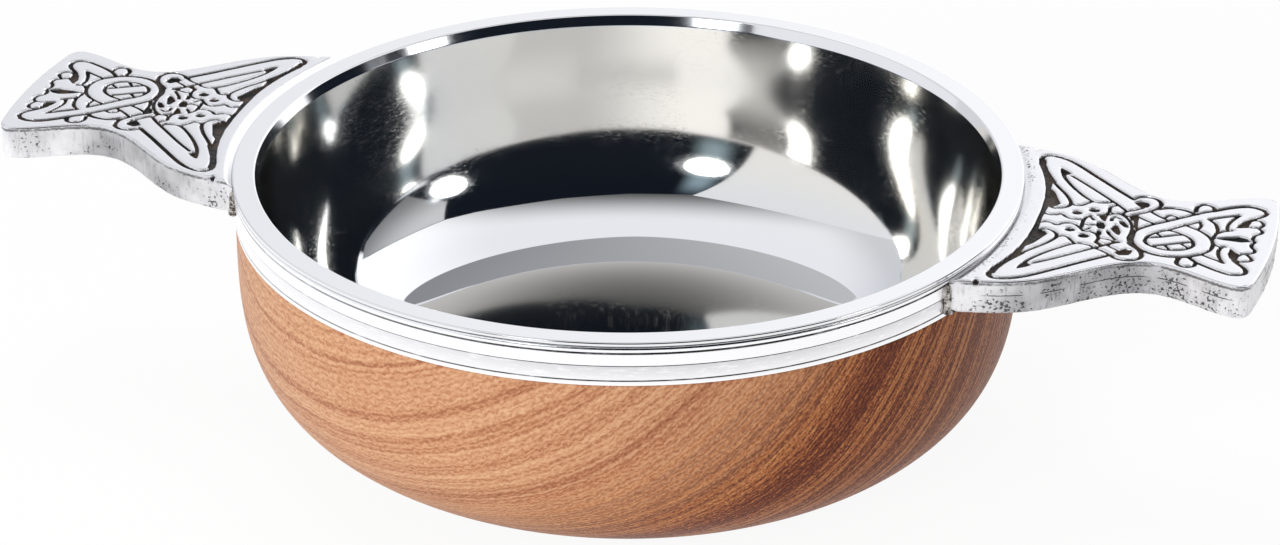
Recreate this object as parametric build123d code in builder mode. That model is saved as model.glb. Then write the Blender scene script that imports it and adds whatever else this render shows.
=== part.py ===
"""Quaich: a wooden drinking bowl with a metal lining, a reeded rim band and two cast lugs.

Lengths are in millimetres. Z points up and X runs along the lugs. The origin
lies on the table, under the middle of the bowl. Everything is soldered or
glued together, so nothing moves.
"""
import os
from math import acos, asin, cos, degrees, pi, radians, sin, sqrt

from build123d import *

os.makedirs("parts", exist_ok=True)

# Whole bowl
lip_height = 42.0
rim_radius = 57.0
lip_width = 3.2
opening_radius = rim_radius - lip_width

# Metal lining. Its wall leans in by a share of the way down. A bevel leads up to the lip.
liner_gauge = 0.7
liner_lean_share = 0.138
liner_wall_power = 3.75
liner_floor_power = 4.15
liner_flat_radius = 10.0
lip_fall = 0.4
lip_edge = 0.15
lip_round = 0.65
bevel_depth = 1.45
bevel_width = 0.7

# Adhesive between lining and wood
bed_gauge = 0.2

# Wooden bowl
floor_gauge = 5.45
belly_inset = 0.25
belly_straight = 2.2
foot_radius = 24.1
belly_power = 3.3
tenon_clearance = 0.05

# Reeded band round the top of the wood
band_height = 6.05
band_gauge = 1.0
bead_groove_height = 0.2
bead_groove_depth = 0.5
bead_height = 0.9
upper_reed_height = 1.7
lower_reed_height = 2.1
reed_step = 0.08
scribe_height = 0.12
scribe_depth = 0.15
band_foot_round = 0.35

# Cast lugs
lug_length = 36.3
lug_gauge = 5.25
lug_root_half_width = 23.15
lug_tip_half_width = 14.65
lug_tip_crown = 1.3
lug_tip_round = 2.0
lug_under_round = 0.9
lug_top_break = 0.25
lug_root_ramp = 1.2
lug_seat_gap = 0.03
right_lug_rise = -0.9
left_lug_rise = 0.45

# The side of a lug, from its root to its tip corner: how far along, as a share of
# the way from root to corner, and how wide, as a share of the root's half width.
lug_side_shares = ((0.155, 0.948), (0.305, 0.836), (0.455, 0.62), (0.575, 0.478), (0.655, 0.449), (0.785, 0.514))

# Solder where a lug meets the band
solder_leg = 0.9

# Places that follow from the sizes
liner_depth = lip_height - floor_gauge - bed_gauge - liner_gauge
belly_radius = rim_radius - belly_inset
lug_reach = rim_radius + lug_length
lip_shoulder = lip_height - lip_fall
lip_underside = lip_shoulder - lip_edge
crease_height = lip_height - bevel_depth
crease_radius = opening_radius - bevel_width
band_bottom = lip_underside - band_height
band_inside = rim_radius - band_gauge
tenon_radius = band_inside - tenon_clearance
belly_top = band_bottom - belly_straight
foot_share = foot_radius / belly_radius
belly_depth = belly_top / (1 - foot_share**belly_power) ** (1 / belly_power)
lug_seat_radius = rim_radius + lug_seat_gap


def bowl_side(radius, depth, top, wall_power, floor_power, lean_share=0.0, end=pi / 2, steps=12):
    """Return points down one side of a rounded bowl section, from its top to its end.

    The radius follows the cosine and the height the sine of an angle, each
    raised to two over its power, so that a larger power gives a squarer side.
    """
    points = []
    for step in range(steps + 1):
        angle = end * step / steps
        down = depth * sin(angle) ** (2 / floor_power)
        across = (radius - lean_share * down) * max(cos(angle), 0.0) ** (2 / wall_power)
        points.append((across, top - down))
    return points


def lining_side(skin):
    """Return the side, from crease to flat floor, that lies one skin outside the lining's inner face."""
    depth = liner_depth - bevel_depth + skin
    points = bowl_side(
        crease_radius + skin, depth, crease_height, liner_wall_power, liner_floor_power, liner_lean_share
    )
    return [point for point in points if point[0] > liner_flat_radius] + [(liner_flat_radius, crease_height - depth)]


def bevel_foot(skin):
    """Return where the bevel, one skin outside its inner face, meets the lip's underside."""
    across = bevel_width * (lip_underside - crease_height) / bevel_depth
    return (crease_radius + skin + across, lip_underside)


bed_skin = liner_gauge + bed_gauge
inner_side = lining_side(0)
outer_side = lining_side(liner_gauge)
bed_side = lining_side(bed_skin)
belly_side = bowl_side(
    belly_radius, belly_depth, belly_top, belly_power, belly_power, end=acos(foot_share ** (belly_power / 2))
)
lining_top_slope = (-liner_lean_share, -1)
level_inward = (-1, 0)

# Metal lining: a spun bowl, creased below a short bevel, whose flat lip turns out over the band
with BuildPart() as liner:
    with BuildSketch(Plane.XZ):
        with BuildLine():
            Spline(inner_side, tangents=[lining_top_slope, level_inward])
            Polyline(inner_side[-1], (0, inner_side[-1][1]), (0, outer_side[-1][1]), outer_side[-1])
            Spline(outer_side, tangents=[lining_top_slope, level_inward])
            Polyline(
                outer_side[0],
                bevel_foot(liner_gauge),
                (rim_radius, lip_underside),
                (rim_radius, lip_shoulder),
            )
            crown = TangentArc((rim_radius - lip_round, lip_height), (rim_radius, lip_shoulder), tangent=(1, 0))
            Polyline(crown @ 0, (opening_radius, lip_height), inner_side[0])
        make_face()
    revolve(axis=Axis.Z)

# Adhesive bed: a thin shell that fills the space between lining and wood
with BuildPart() as adhesive_bed:
    with BuildSketch(Plane.XZ):
        with BuildLine():
            Spline(outer_side, tangents=[lining_top_slope, level_inward])
            Polyline(outer_side[-1], (0, outer_side[-1][1]), (0, bed_side[-1][1]), bed_side[-1])
            Spline(bed_side, tangents=[lining_top_slope, level_inward])
            Polyline(bed_side[0], bevel_foot(bed_skin), bevel_foot(liner_gauge), outer_side[0])
        make_face()
    revolve(axis=Axis.Z)

# Wooden bowl: a round belly below a thin tenon that the band goes round
with BuildPart() as wooden_bowl:
    with BuildSketch(Plane.XZ):
        with BuildLine():
            Spline(bed_side, tangents=[lining_top_slope, level_inward])
            Polyline(bed_side[-1], (0, bed_side[-1][1]), (0, 0), belly_side[-1])
            Spline(belly_side, tangents=[(0, -1), Vector(*belly_side[-1]) - Vector(*belly_side[-2])])
            Polyline(
                belly_side[0],
                (belly_radius, band_bottom),
                (tenon_radius, band_bottom),
                (tenon_radius, lip_underside),
                bevel_foot(bed_skin),
                bed_side[0],
            )
        make_face()
    revolve(axis=Axis.Z)

# Rim band: a bead under the lip, then two flat reeds and a foot strip parted by scribed lines
bead_top = lip_underside - bead_groove_height
bead_bottom = bead_top - bead_height
upper_reed_radius = rim_radius - reed_step
upper_reed_top = bead_bottom - scribe_height
upper_reed_bottom = upper_reed_top - upper_reed_height
lower_reed_radius = upper_reed_radius - reed_step
lower_reed_top = upper_reed_bottom - scribe_height
lower_reed_bottom = lower_reed_top - lower_reed_height
foot_strip_top = lower_reed_bottom - scribe_height
bead_root = rim_radius - bead_groove_depth
bead_foot = rim_radius - scribe_depth

with BuildPart() as rim_band:
    with BuildSketch(Plane.XZ):
        with BuildLine():
            Polyline(
                (band_inside, band_bottom),
                (band_inside, lip_underside),
                (bead_root, lip_underside),
                (bead_root, bead_top),
            )
            ThreePointArc((bead_root, bead_top), (rim_radius, (bead_top + bead_bottom) / 2), (bead_foot, bead_bottom))
            Polyline(
                (bead_foot, bead_bottom),
                (upper_reed_radius - scribe_depth, bead_bottom),
                (upper_reed_radius - scribe_depth, upper_reed_top),
                (upper_reed_radius, upper_reed_top),
                (upper_reed_radius, upper_reed_bottom),
                (lower_reed_radius - scribe_depth, upper_reed_bottom),
                (lower_reed_radius - scribe_depth, lower_reed_top),
                (lower_reed_radius, lower_reed_top),
                (lower_reed_radius, lower_reed_bottom),
                (lower_reed_radius - scribe_depth, lower_reed_bottom),
                (lower_reed_radius - scribe_depth, foot_strip_top),
                (lower_reed_radius, foot_strip_top),
                (lower_reed_radius, band_bottom + band_foot_round),
            )
            RadiusArc(
                (lower_reed_radius, band_bottom + band_foot_round),
                (lower_reed_radius - band_foot_round, band_bottom),
                band_foot_round,
            )
            Line((lower_reed_radius - band_foot_round, band_bottom), (band_inside, band_bottom))
        make_face()
    revolve(axis=Axis.Z)

liner.part.label = "liner"
adhesive_bed.part.label = "adhesive_bed"
wooden_bowl.part.label = "wooden_bowl"
rim_band.part.label = "rim_band"
pieces = [wooden_bowl.part, adhesive_bed.part, liner.part, rim_band.part]

# Outline of a lug, drawn with its reach along X
lug_root_x = sqrt(lug_seat_radius**2 - lug_root_half_width**2)
lug_corner_x = lug_reach - lug_tip_crown
lug_side = [(lug_root_x, lug_root_half_width)]
for along_share, width_share in lug_side_shares:
    lug_side.append((lug_root_x + along_share * (lug_corner_x - lug_root_x), width_share * lug_root_half_width))
lug_side.append((lug_corner_x, lug_tip_half_width))

# How far round the rim the solder runs from the middle of a lug
solder_reach = degrees(asin(lug_root_half_width / lug_seat_radius) + solder_leg / lug_seat_radius)

for side, turn, rise in (("right", 0, right_lug_rise), ("left", 180, left_lug_rise)):
    lug_top = lip_height + rise
    lug_bottom = lug_top - lug_gauge
    root_drop = max(lug_top - lip_shoulder, lug_top_break)
    solder_top = min(lip_underside, lug_top - root_drop)
    lug_plane = Plane((0, 0, lug_bottom), x_dir=(cos(radians(turn)), sin(radians(turn)), 0), z_dir=(0, 0, 1))

    # Lug: a flat waisted plate whose root is hollowed to fit the band and ramped down to the lip
    with BuildPart() as lug:
        with BuildSketch(lug_plane):
            with BuildLine():
                Spline(lug_side)
                mirror(about=Plane.XZ)
                ThreePointArc(
                    (lug_root_x, -lug_root_half_width), (lug_seat_radius, 0), (lug_root_x, lug_root_half_width)
                )
                ThreePointArc(
                    (lug_corner_x, lug_tip_half_width), (lug_reach, 0), (lug_corner_x, -lug_tip_half_width)
                )
            make_face()
            fillet(vertices().group_by(Axis.X)[-1], radius=lug_tip_round)
        extrude(amount=lug_gauge)
        root_length = lug_seat_radius * 2 * asin(lug_root_half_width / lug_seat_radius)
        under_edges = lug.faces().sort_by(Axis.Z)[0].edges()
        fillet([edge for edge in under_edges if abs(edge.length - root_length) > lug_seat_gap], radius=lug_under_round)
        root_face = lug.faces().filter_by(GeomType.CYLINDER).sort_by(lambda face: face.center().length)[0]
        root_edge = lug.faces().sort_by(Axis.Z)[-1].edges().sort_by(lambda edge: abs(edge.length - root_length))[0]
        chamfer(root_edge, length=root_drop, length2=lug_root_ramp, reference=root_face)
        top_face = lug.faces().sort_by(Axis.Z)[-1]
        root_edge = top_face.edges().sort_by(lambda edge: abs(edge.center().X) + abs(edge.center().Y))[0]
        chamfer([edge for edge in top_face.edges() if edge != root_edge], length=lug_top_break)
    lug.part.label = f"{side}_lug"
    pieces.append(lug.part)

    # Solder: a bead under the lug's root that turns up past both of its corners
    start = radians(turn - solder_reach)
    section_plane = Plane((0, 0, lug_bottom), x_dir=(cos(start), sin(start), 0), z_dir=(sin(start), -cos(start), 0))
    with BuildPart() as solder_seam:
        with BuildSketch(section_plane):
            with BuildLine():
                Polyline(
                    (lug_seat_radius, -solder_leg),
                    (lug_seat_radius + solder_leg, 0),
                    (lug_seat_radius + solder_leg, solder_top - lug_bottom),
                    (lug_seat_radius, solder_top - lug_bottom),
                    close=True,
                )
            make_face()
        revolve(axis=Axis.Z, revolution_arc=2 * solder_reach)
        add(lug.part, mode=Mode.SUBTRACT)
    solder_seam.part.label = f"{side}_solder_seam"
    pieces.append(solder_seam.part)

for piece in pieces:
    export_step(piece, f"parts/{piece.label}.step")
    print(piece.label, "solids", len(piece.solids()), "volume", round(piece.volume, 1))
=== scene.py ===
"""Quaich: a turned wooden bowl with a polished lining, a reeded rim band and two carved lugs.

Sizes in the classes are in millimetres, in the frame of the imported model: Z up,
X along the lugs, origin on the table under the middle of the bowl.
"""
import logging
from dataclasses import dataclass, field
from enum import Enum
from math import acos, asin, cos, degrees, pi, radians, sin, sqrt
from typing import Optional, Sequence, Union

import bpy
import numpy as np
from mathutils import Matrix, Vector


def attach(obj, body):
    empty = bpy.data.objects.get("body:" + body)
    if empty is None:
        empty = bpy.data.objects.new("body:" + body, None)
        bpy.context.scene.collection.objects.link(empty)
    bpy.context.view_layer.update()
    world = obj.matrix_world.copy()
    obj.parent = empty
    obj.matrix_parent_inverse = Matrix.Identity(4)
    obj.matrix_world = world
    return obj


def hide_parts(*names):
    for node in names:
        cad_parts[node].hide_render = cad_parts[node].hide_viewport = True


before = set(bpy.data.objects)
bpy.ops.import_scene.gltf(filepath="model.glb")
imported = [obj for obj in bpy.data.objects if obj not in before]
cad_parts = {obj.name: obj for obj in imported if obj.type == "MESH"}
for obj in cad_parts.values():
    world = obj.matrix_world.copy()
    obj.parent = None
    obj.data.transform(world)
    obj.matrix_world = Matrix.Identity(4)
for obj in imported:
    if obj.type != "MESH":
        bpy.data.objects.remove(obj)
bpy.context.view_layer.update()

log = logging.getLogger("quaich")

MM = 0.001
IMAGE_WIDTH = 1280.0
SENSOR_WIDTH = 36.0
VIEW_TURN = radians(15.8)
"""How far the photograph's view is turned round the bowl from the lugs' axis."""
VIEW_RIGHT = (cos(VIEW_TURN), sin(VIEW_TURN), 0.0)
VIEW_AWAY = (-sin(VIEW_TURN), cos(VIEW_TURN), 0.0)

Array = np.ndarray
Pair = tuple[float, float]
Points = Sequence[Pair]
Colour = tuple[float, float, float]
Stops = Sequence[tuple[float, Colour]]


def added(name: str, data: bpy.types.ID) -> bpy.types.Object:
    """Returns a new object of the scene that holds the data.

    Args:
        name: the object's name.
        data: its mesh, lamp or camera.

    Returns:
        The object, at the origin.
    """
    made = bpy.data.objects.new(name, data)
    bpy.context.scene.collection.objects.link(made)
    return made


def direction(azimuth: float, elevation: float) -> Vector:
    """Returns the unit vector of a way given in degrees: x right, y away from the camera, z up."""
    a, e = radians(azimuth), radians(elevation)
    return Vector((sin(a) * cos(e), cos(a) * cos(e), sin(e)))


# ---------------------------------------------------------------- shader maths


class Term:
    """A value in a shader: one socket, whose operators add Math nodes."""

    def __init__(self, graph: "Graph", socket: bpy.types.NodeSocket) -> None:
        """Wraps a socket of a graph."""
        self.graph = graph
        self.socket = socket

    def __add__(self, other: "Value") -> "Term":
        """Sum."""
        return self.graph.maths("ADD", self, other)

    def __sub__(self, other: "Value") -> "Term":
        """Difference."""
        return self.graph.maths("SUBTRACT", self, other)

    def __rsub__(self, other: "Value") -> "Term":
        """Difference, number first."""
        return self.graph.maths("SUBTRACT", other, self)

    def __mul__(self, other: "Value") -> "Term":
        """Product."""
        return self.graph.maths("MULTIPLY", self, other)

    def __truediv__(self, other: "Value") -> "Term":
        """Quotient."""
        return self.graph.maths("DIVIDE", self, other)

    __radd__ = __add__
    __rmul__ = __mul__


Value = Union[Term, float]
Feed = Union[Term, float, Sequence[float]]


class Graph:
    """Writes nodes into one node tree."""

    def __init__(self, tree: bpy.types.NodeTree) -> None:
        """Empties the tree and keeps it."""
        tree.nodes.clear()
        self.tree = tree

    def node(self, kind: str, settings: dict, inputs: dict, output: Union[int, str] = 0) -> Term:
        """Adds one node.

        Args:
            kind: the node's type.
            settings: attributes, set first.
            inputs: values or links by socket name or number.
            output: the socket that is returned.

        Returns:
            The chosen output as a Term.
        """
        made = self.tree.nodes.new(kind)
        for name, value in settings.items():
            setattr(made, name, value)
        for name, value in inputs.items():
            if isinstance(value, Term):
                self.tree.links.new(value.socket, made.inputs[name])
            else:
                made.inputs[name].default_value = value
        return Term(self, made.outputs[output] if len(made.outputs) else None)

    def maths(self, operation: str, *values: Value) -> Term:
        """Adds a Math node of that operation."""
        return self.node("ShaderNodeMath", {"operation": operation}, dict(enumerate(values)))

    def dot(self, first: Term, second: Sequence[float]) -> Term:
        """Returns the dot product of a vector and a constant one."""
        inputs = {0: first, 1: tuple(second)}
        return self.node("ShaderNodeVectorMath", {"operation": "DOT_PRODUCT"}, inputs, "Value")

    def length(self, x: Term, y: Term) -> Term:
        """Returns the root of the sum of two squares."""
        return self.maths("SQRT", x * x + y * y)

    def step(self, value: Value, low: float, high: float) -> Term:
        """Rises smoothly from 0 at low to 1 at high, or falls where low is above high.

        Args:
            value: what is measured.
            low: where 0 ends.
            high: where 1 begins.

        Returns:
            The share.
        """
        if low > high:
            return 1.0 - self.step(value, high, low)
        ends = {"Value": value, "From Min": low, "From Max": high}
        return self.node("ShaderNodeMapRange", {"interpolation_type": "SMOOTHSTEP"}, ends)

    def near(self, value: Term, place: float, outer: float, inner: float) -> Term:
        """Returns a share that is 1 within inner of a place and 0 beyond outer."""
        return self.step(self.maths("ABSOLUTE", value - place), outer, inner)

    def blend(self, share: Value, first: Feed, second: Feed) -> Term:
        """Mixes two colours by a share."""
        a, b = (v if isinstance(v, Term) else (*v, 1.0) for v in (first, second))
        return self.node("ShaderNodeMix", {"data_type": "RGBA"}, {0: share, 6: a, 7: b}, 2)

    def ramp(self, value: Value, stops: Stops) -> Term:
        """Colours a value by a ramp through (place, colour) stops.

        Args:
            value: the place on the ramp.
            stops: where each colour stands, at least two.

        Returns:
            The colour.
        """
        made = self.node("ShaderNodeValToRGB", {}, {0: value})
        elements = made.socket.node.color_ramp.elements
        while len(elements) < len(stops):
            elements.new(0.5)
        for element, (place, colour) in zip(elements, stops):
            element.position = place
            element.color = (*colour, 1.0)
        return made

    def noise(self, place: Term, size: float, detail: float = 2.0, roughness: float = 0.5) -> Term:
        """Adds noise from 0 to 1 whose features are size millimetres across."""
        inputs = {"Vector": place, "Scale": 1.0 / size, "Detail": detail, "Roughness": roughness}
        return self.node("ShaderNodeTexNoise", {}, inputs)

    def place(self) -> Term:
        """Returns the surface point in millimetres, in Object coordinates."""
        point = self.node("ShaderNodeTexCoord", {}, {}, "Object")
        return self.node("ShaderNodeVectorMath", {"operation": "SCALE"}, {0: point, "Scale": 1.0 / MM})

    def split(self, vector: Term) -> tuple[Term, Term, Term]:
        """Returns a vector's three parts.

        Args:
            vector: the vector.

        Returns:
            Its X, Y and Z.
        """
        parts = self.node("ShaderNodeSeparateXYZ", {}, {0: vector})
        outputs = parts.socket.node.outputs
        return Term(self, outputs[0]), Term(self, outputs[1]), Term(self, outputs[2])

    def joined(self, x: Value, y: Value, z: Value) -> Term:
        """Returns a vector made from three values."""
        return self.node("ShaderNodeCombineXYZ", {}, {0: x, 1: y, 2: z})

    def ray(self, kind: str) -> Term:
        """Returns 1 for rays of that kind."""
        return self.node("ShaderNodeLightPath", {}, {}, kind)

    def attribute(self, name: str) -> Term:
        """Returns a mesh attribute's value."""
        return self.node("ShaderNodeAttribute", {"attribute_name": name}, {}, "Fac")

    def bump(self, height: Term, depth: float) -> Term:
        """Returns a normal bumped by a height from 0 to 1 that stands for depth millimetres."""
        return self.node("ShaderNodeBump", {}, {"Strength": 1.0, "Distance": depth * MM, "Height": height})


class Finish:
    """A surface finish that writes itself into a material."""

    title = "finish"

    def shade(self, graph: Graph) -> dict[str, Feed]:
        """Returns the Principled shader's inputs."""
        raise NotImplementedError

    def material(self) -> bpy.types.Material:
        """Returns the finish's material, made once.

        Returns:
            The material.
        """
        made = bpy.data.materials.get(self.title)
        if made is None:
            made = bpy.data.materials.new(self.title)
            made.use_nodes = True
            graph = Graph(made.node_tree)
            shader = graph.node("ShaderNodeBsdfPrincipled", {}, self.shade(graph))
            graph.node("ShaderNodeOutputMaterial", {}, {"Surface": shader})
        return made


# -------------------------------------------------------------------- finishes


@dataclass(frozen=True)
class ElmWood(Finish):
    """Oiled elm: growth rings round a slanting pith, with wavy bands of fine pores along them.

    The ring chart lists (radius about the pith in millimetres, lightness) for the
    years that cross the front of the bowl. The others follow a random pattern. A
    turn about the pith counts as the arc that it makes at the arc radius.
    """

    title = "elm_wood"
    pith: tuple[float, float, float] = (26.9, 7.6, -115.0)
    grain: tuple[float, float, float] = (0.1944, 0.5131, 0.8360)
    chart_start: float = 100.0
    chart_end: float = 147.0
    chart: tuple = (
        (100.5, 0.30), (101.5, 0.08), (104.6, 0.52), (105.5, 0.22), (106.3, 0.50), (107.1, 0.24),
        (107.9, 0.50), (108.6, 0.26), (109.2, 0.48), (112.2, 0.14), (113.5, 0.12), (115.5, 0.58),
        (116.5, 0.26), (117.6, 0.54), (118.4, 0.16), (120.6, 0.60), (121.6, 0.30), (122.6, 0.56),
        (124.6, 0.30), (125.8, 0.80), (126.3, 0.45), (127.4, 0.66), (129.0, 0.42), (129.7, 0.12),
        (130.9, 0.78), (133.2, 0.86), (134.9, 0.34), (135.6, 0.72), (136.6, 0.38), (138.0, 0.68),
        (139.9, 0.32), (142.5, 0.60),
    )
    pore_pitch: float = 0.55
    bowl_middle: tuple[float, float, float] = (0.0, 0.0, 20.0)
    arc_radius: float = 120.0
    inner_colours: Stops = (
        (0.0, (0.085, 0.016, 0.005)), (0.3, (0.21, 0.050, 0.015)),
        (0.6, (0.41, 0.148, 0.048)), (1.0, (0.64, 0.32, 0.12)),
    )
    outer_colours: Stops = (
        (0.0, (0.20, 0.062, 0.028)), (0.35, (0.38, 0.155, 0.076)),
        (0.6, (0.53, 0.268, 0.142)), (1.0, (0.67, 0.415, 0.245)),
    )
    outer_from: Pair = (113.0, 133.0)
    # painted reflection: heights between which the wood turns paler towards the foot, as if it mirrored the
    # white floor
    painted_floor_sheen_below: Pair = (17.0, 3.0)

    def log_axes(self) -> tuple[Vector, Vector, Vector]:
        """Returns the ways out from the pith towards the bowl, sideways and along the grain.

        Returns:
            Three unit vectors.
        """
        grain = Vector(self.grain).normalized()
        towards = Vector(self.bowl_middle) - Vector(self.pith)
        outwards = (towards - towards.dot(grain) * grain).normalized()
        return outwards, grain.cross(outwards), grain

    def lightness(self, graph: Graph, ring: Term) -> Term:
        """Returns how light each year is: by the chart within its span and by noise outside it.

        Args:
            graph: writes the nodes.
            ring: the radius about the pith.

        Returns:
            Lightness from 0 to 1.
        """
        first, last = self.chart_start, self.chart_end
        stops = [((radius - first) / (last - first), (light,) * 3) for radius, light in self.chart]
        charted = graph.ramp((ring - first) / (last - first), stops)
        years = graph.noise(graph.joined(ring, 0.0, 0.0), 1.5, 2.0, 0.7)
        years = graph.step(years, 0.3, 0.72) * 0.7 + 0.1
        known = graph.step(ring, first - 1.0, first + 1.0) * graph.step(ring, last - 3.0, last - 5.0)
        return graph.node("ShaderNodeMix", {"data_type": "FLOAT"}, {0: known, 2: years, 3: charted})

    def shade(self, graph: Graph) -> dict[str, Feed]:
        """Measures the point's radius, turn and height about the pith and colours by them.

        Args:
            graph: writes the nodes.

        Returns:
            The Principled shader's inputs.
        """
        place = graph.place()
        arm = graph.node("ShaderNodeVectorMath", {"operation": "SUBTRACT"}, {0: place, 1: self.pith})
        out, side, height = (graph.dot(arm, axis) for axis in self.log_axes())
        radius = graph.length(out, side)
        turn = graph.maths("ARCTAN2", side, out) * self.arc_radius

        # rings wander a little along the log, and their edges are ragged
        wander = graph.noise(graph.joined(radius * 0.3, turn, height * 0.3), 17.0, 1.0)
        ragged = graph.noise(graph.joined(radius, turn, height * 0.5), 0.9, 3.0, 0.6)
        ring = radius + (wander - 0.5) * 1.5 + (ragged - 0.5) * 0.36
        broad = self.lightness(graph, ring)
        thin = graph.noise(graph.joined(ring, 7.0, 0.0), 0.52, 1.0)

        # fine waves of pores along the rings, and a scatter of specks
        waver = graph.noise(graph.joined(radius, turn, height * 0.6), 1.0, 2.0)
        feather = graph.maths("SINE", (radius + waver * 1.3) * (2.0 * pi / self.pore_pitch)) * 0.5 + 0.5
        fleck = graph.noise(graph.joined(radius, turn * 0.5, height * 0.45), 0.3, 2.0, 0.6)
        speck = graph.noise(place, 0.34, 2.0, 0.7)
        fine = feather * 0.55 + graph.step(fleck, 0.36, 0.64) * 0.45
        cloud = graph.noise(graph.joined(radius * 0.5, turn * 0.5, height * 0.2), 9.0, 2.0)

        # the inner years are dark with golden lines, the outer ones pale with brown lines
        frayed = thin + (speck - 0.5) * 0.36
        golden, dark = graph.step(frayed, 0.44, 0.62), graph.step(frayed, 0.48, 0.64)
        # painted reflection: the wood is paler low on the belly, where it would mirror the white floor
        low = graph.step(graph.split(place)[2], *self.painted_floor_sheen_below)
        shared = low * 0.13 + (broad - 0.42) * 0.36 + (cloud - 0.5) * 0.3 + (speck - 0.5) * 0.62
        inner = shared + golden * 0.40 + (0.5 - fine) * (0.62 - golden * 0.3) + 0.22
        outer = shared * 0.9 - dark * 0.21 + (0.5 - fine) * 0.42 + 0.62
        inner, outer = graph.ramp(inner, self.inner_colours), graph.ramp(outer, self.outer_colours)
        return {
            "Base Color": graph.blend(graph.step(radius, *self.outer_from), inner, outer),
            "Roughness": 0.44 + fine * 0.12,
            "Normal": graph.bump(1.0 - fine * 0.7 + speck * 0.3, 0.008),
            "Specular IOR Level": 0.18,
            "Coat Weight": 0.05,
            "Coat Roughness": 0.30,
        }


@dataclass(frozen=True)
class PolishedLining(Finish):
    """Spun pewter: a mirror on the floor, fogged up the wall by fine scratches, and tinted yellower far
    away as a painted warm reflection.

    The wall and the lip begin between two heights each, and the far side's painted warm reflection
    begins between two places along Y.
    """

    title = "mirror_lining"
    floor_tint: Colour = (0.722, 0.738, 0.765)
    wall_tint: Colour = (0.80, 0.81, 0.82)
    far_painted_reflection: Colour = (0.83, 0.80, 0.735)
    lip_tint: Colour = (0.81, 0.812, 0.83)
    wall_from: Pair = (11.0, 24.0)
    lip_from: Pair = (40.2, 40.6)
    far_reflection_from: Pair = (16.0, 44.0)
    roughness: float = 0.012
    wall_roughness: float = 0.07
    scratch_roughness: float = 0.13
    lip_roughness: float = 0.08

    def shade(self, graph: Graph) -> dict[str, Feed]:
        """Lays faint turning marks round the axis over a mirror, and loose scratches across the wall.

        Args:
            graph: writes the nodes.

        Returns:
            The Principled shader's inputs.
        """
        place = graph.place()
        x, y, z = graph.split(place)
        turn = graph.maths("ARCTAN2", y, x)
        lip = graph.step(z, *self.lip_from)
        wall = graph.step(z, *self.wall_from) * (1.0 - lip)
        # painted reflection: the far side is tinted yellower, as if it mirrored warm surroundings
        tint = graph.blend(graph.step(y, *self.far_reflection_from), self.wall_tint, self.far_painted_reflection)
        tint = graph.blend(lip, graph.blend(wall, self.floor_tint, tint), self.lip_tint)
        marks = graph.noise(graph.joined(graph.length(x, y), z, turn * 1.2), 0.55, 3.0)
        haze = graph.noise(place, 9.0, 3.0)
        strokes = graph.joined(z * 1.6, turn * 30.0, turn * 6.0 - z * 0.8)
        strokes = graph.step(graph.noise(strokes, 0.5, 3.0, 0.65), 0.45, 0.75)
        scratched = strokes * graph.step(haze, 0.35, 0.65)
        fog = wall * (self.wall_roughness + scratched * self.scratch_roughness)
        fog = fog + graph.step(marks, 0.6, 0.9) * 0.01 + lip * self.lip_roughness
        return {
            "Base Color": tint,
            "Metallic": 1.0,
            "Roughness": self.roughness + fog,
            "Normal": graph.bump(marks * 0.8 + haze * 0.2, 0.0002),
        }


@dataclass(frozen=True)
class BrightBand(Finish):
    """Turned pewter, bright on its reeds and dark in the scribed lines, with dried polish and painted shade
    there.

    The darkening is fainter to the left, where the light falls, and that fall-off is painted shade.
    """

    title = "bright_band"
    tint: Colour = (0.93, 0.93, 0.945)
    # dried polish and painted shade in the scribed lines
    groove_polish_and_shade: Colour = (0.045, 0.04, 0.045)
    painted_shade_from: Pair = (-45.0, 20.0)
    lit_left_share: float = 0.4
    roughness: float = 0.17

    def shade(self, graph: Graph) -> dict[str, Feed]:
        """Darkens and dulls the band by its crevice attribute: dried polish and painted shade in the
        scribed lines.

        Args:
            graph: writes the nodes.

        Returns:
            The Principled shader's inputs.
        """
        x, y, z = graph.split(graph.place())
        worn = graph.noise(graph.joined(x, y, z * 6.0), 2.4, 3.0)
        marks = graph.noise(graph.joined(graph.maths("ARCTAN2", y, x) * 3.0, z * 4.0, 0.0), 0.5, 2.0)
        # painted shade: the scribed lines are darkened less on the left, where the light falls, than on the
        # right
        painted_shade_share = graph.step(x, *self.painted_shade_from) * (1.0 - self.lit_left_share) + self.lit_left_share
        polish_and_shade = graph.attribute("crevice") * graph.step(worn, 0.18, 0.52) * painted_shade_share
        return {
            "Base Color": graph.blend(polish_and_shade, self.tint, self.groove_polish_and_shade),
            "Metallic": 1.0,
            "Roughness": self.roughness + polish_and_shade * 0.5 + marks * 0.03,
            "Normal": graph.bump(marks, 0.0002),
        }


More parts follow.
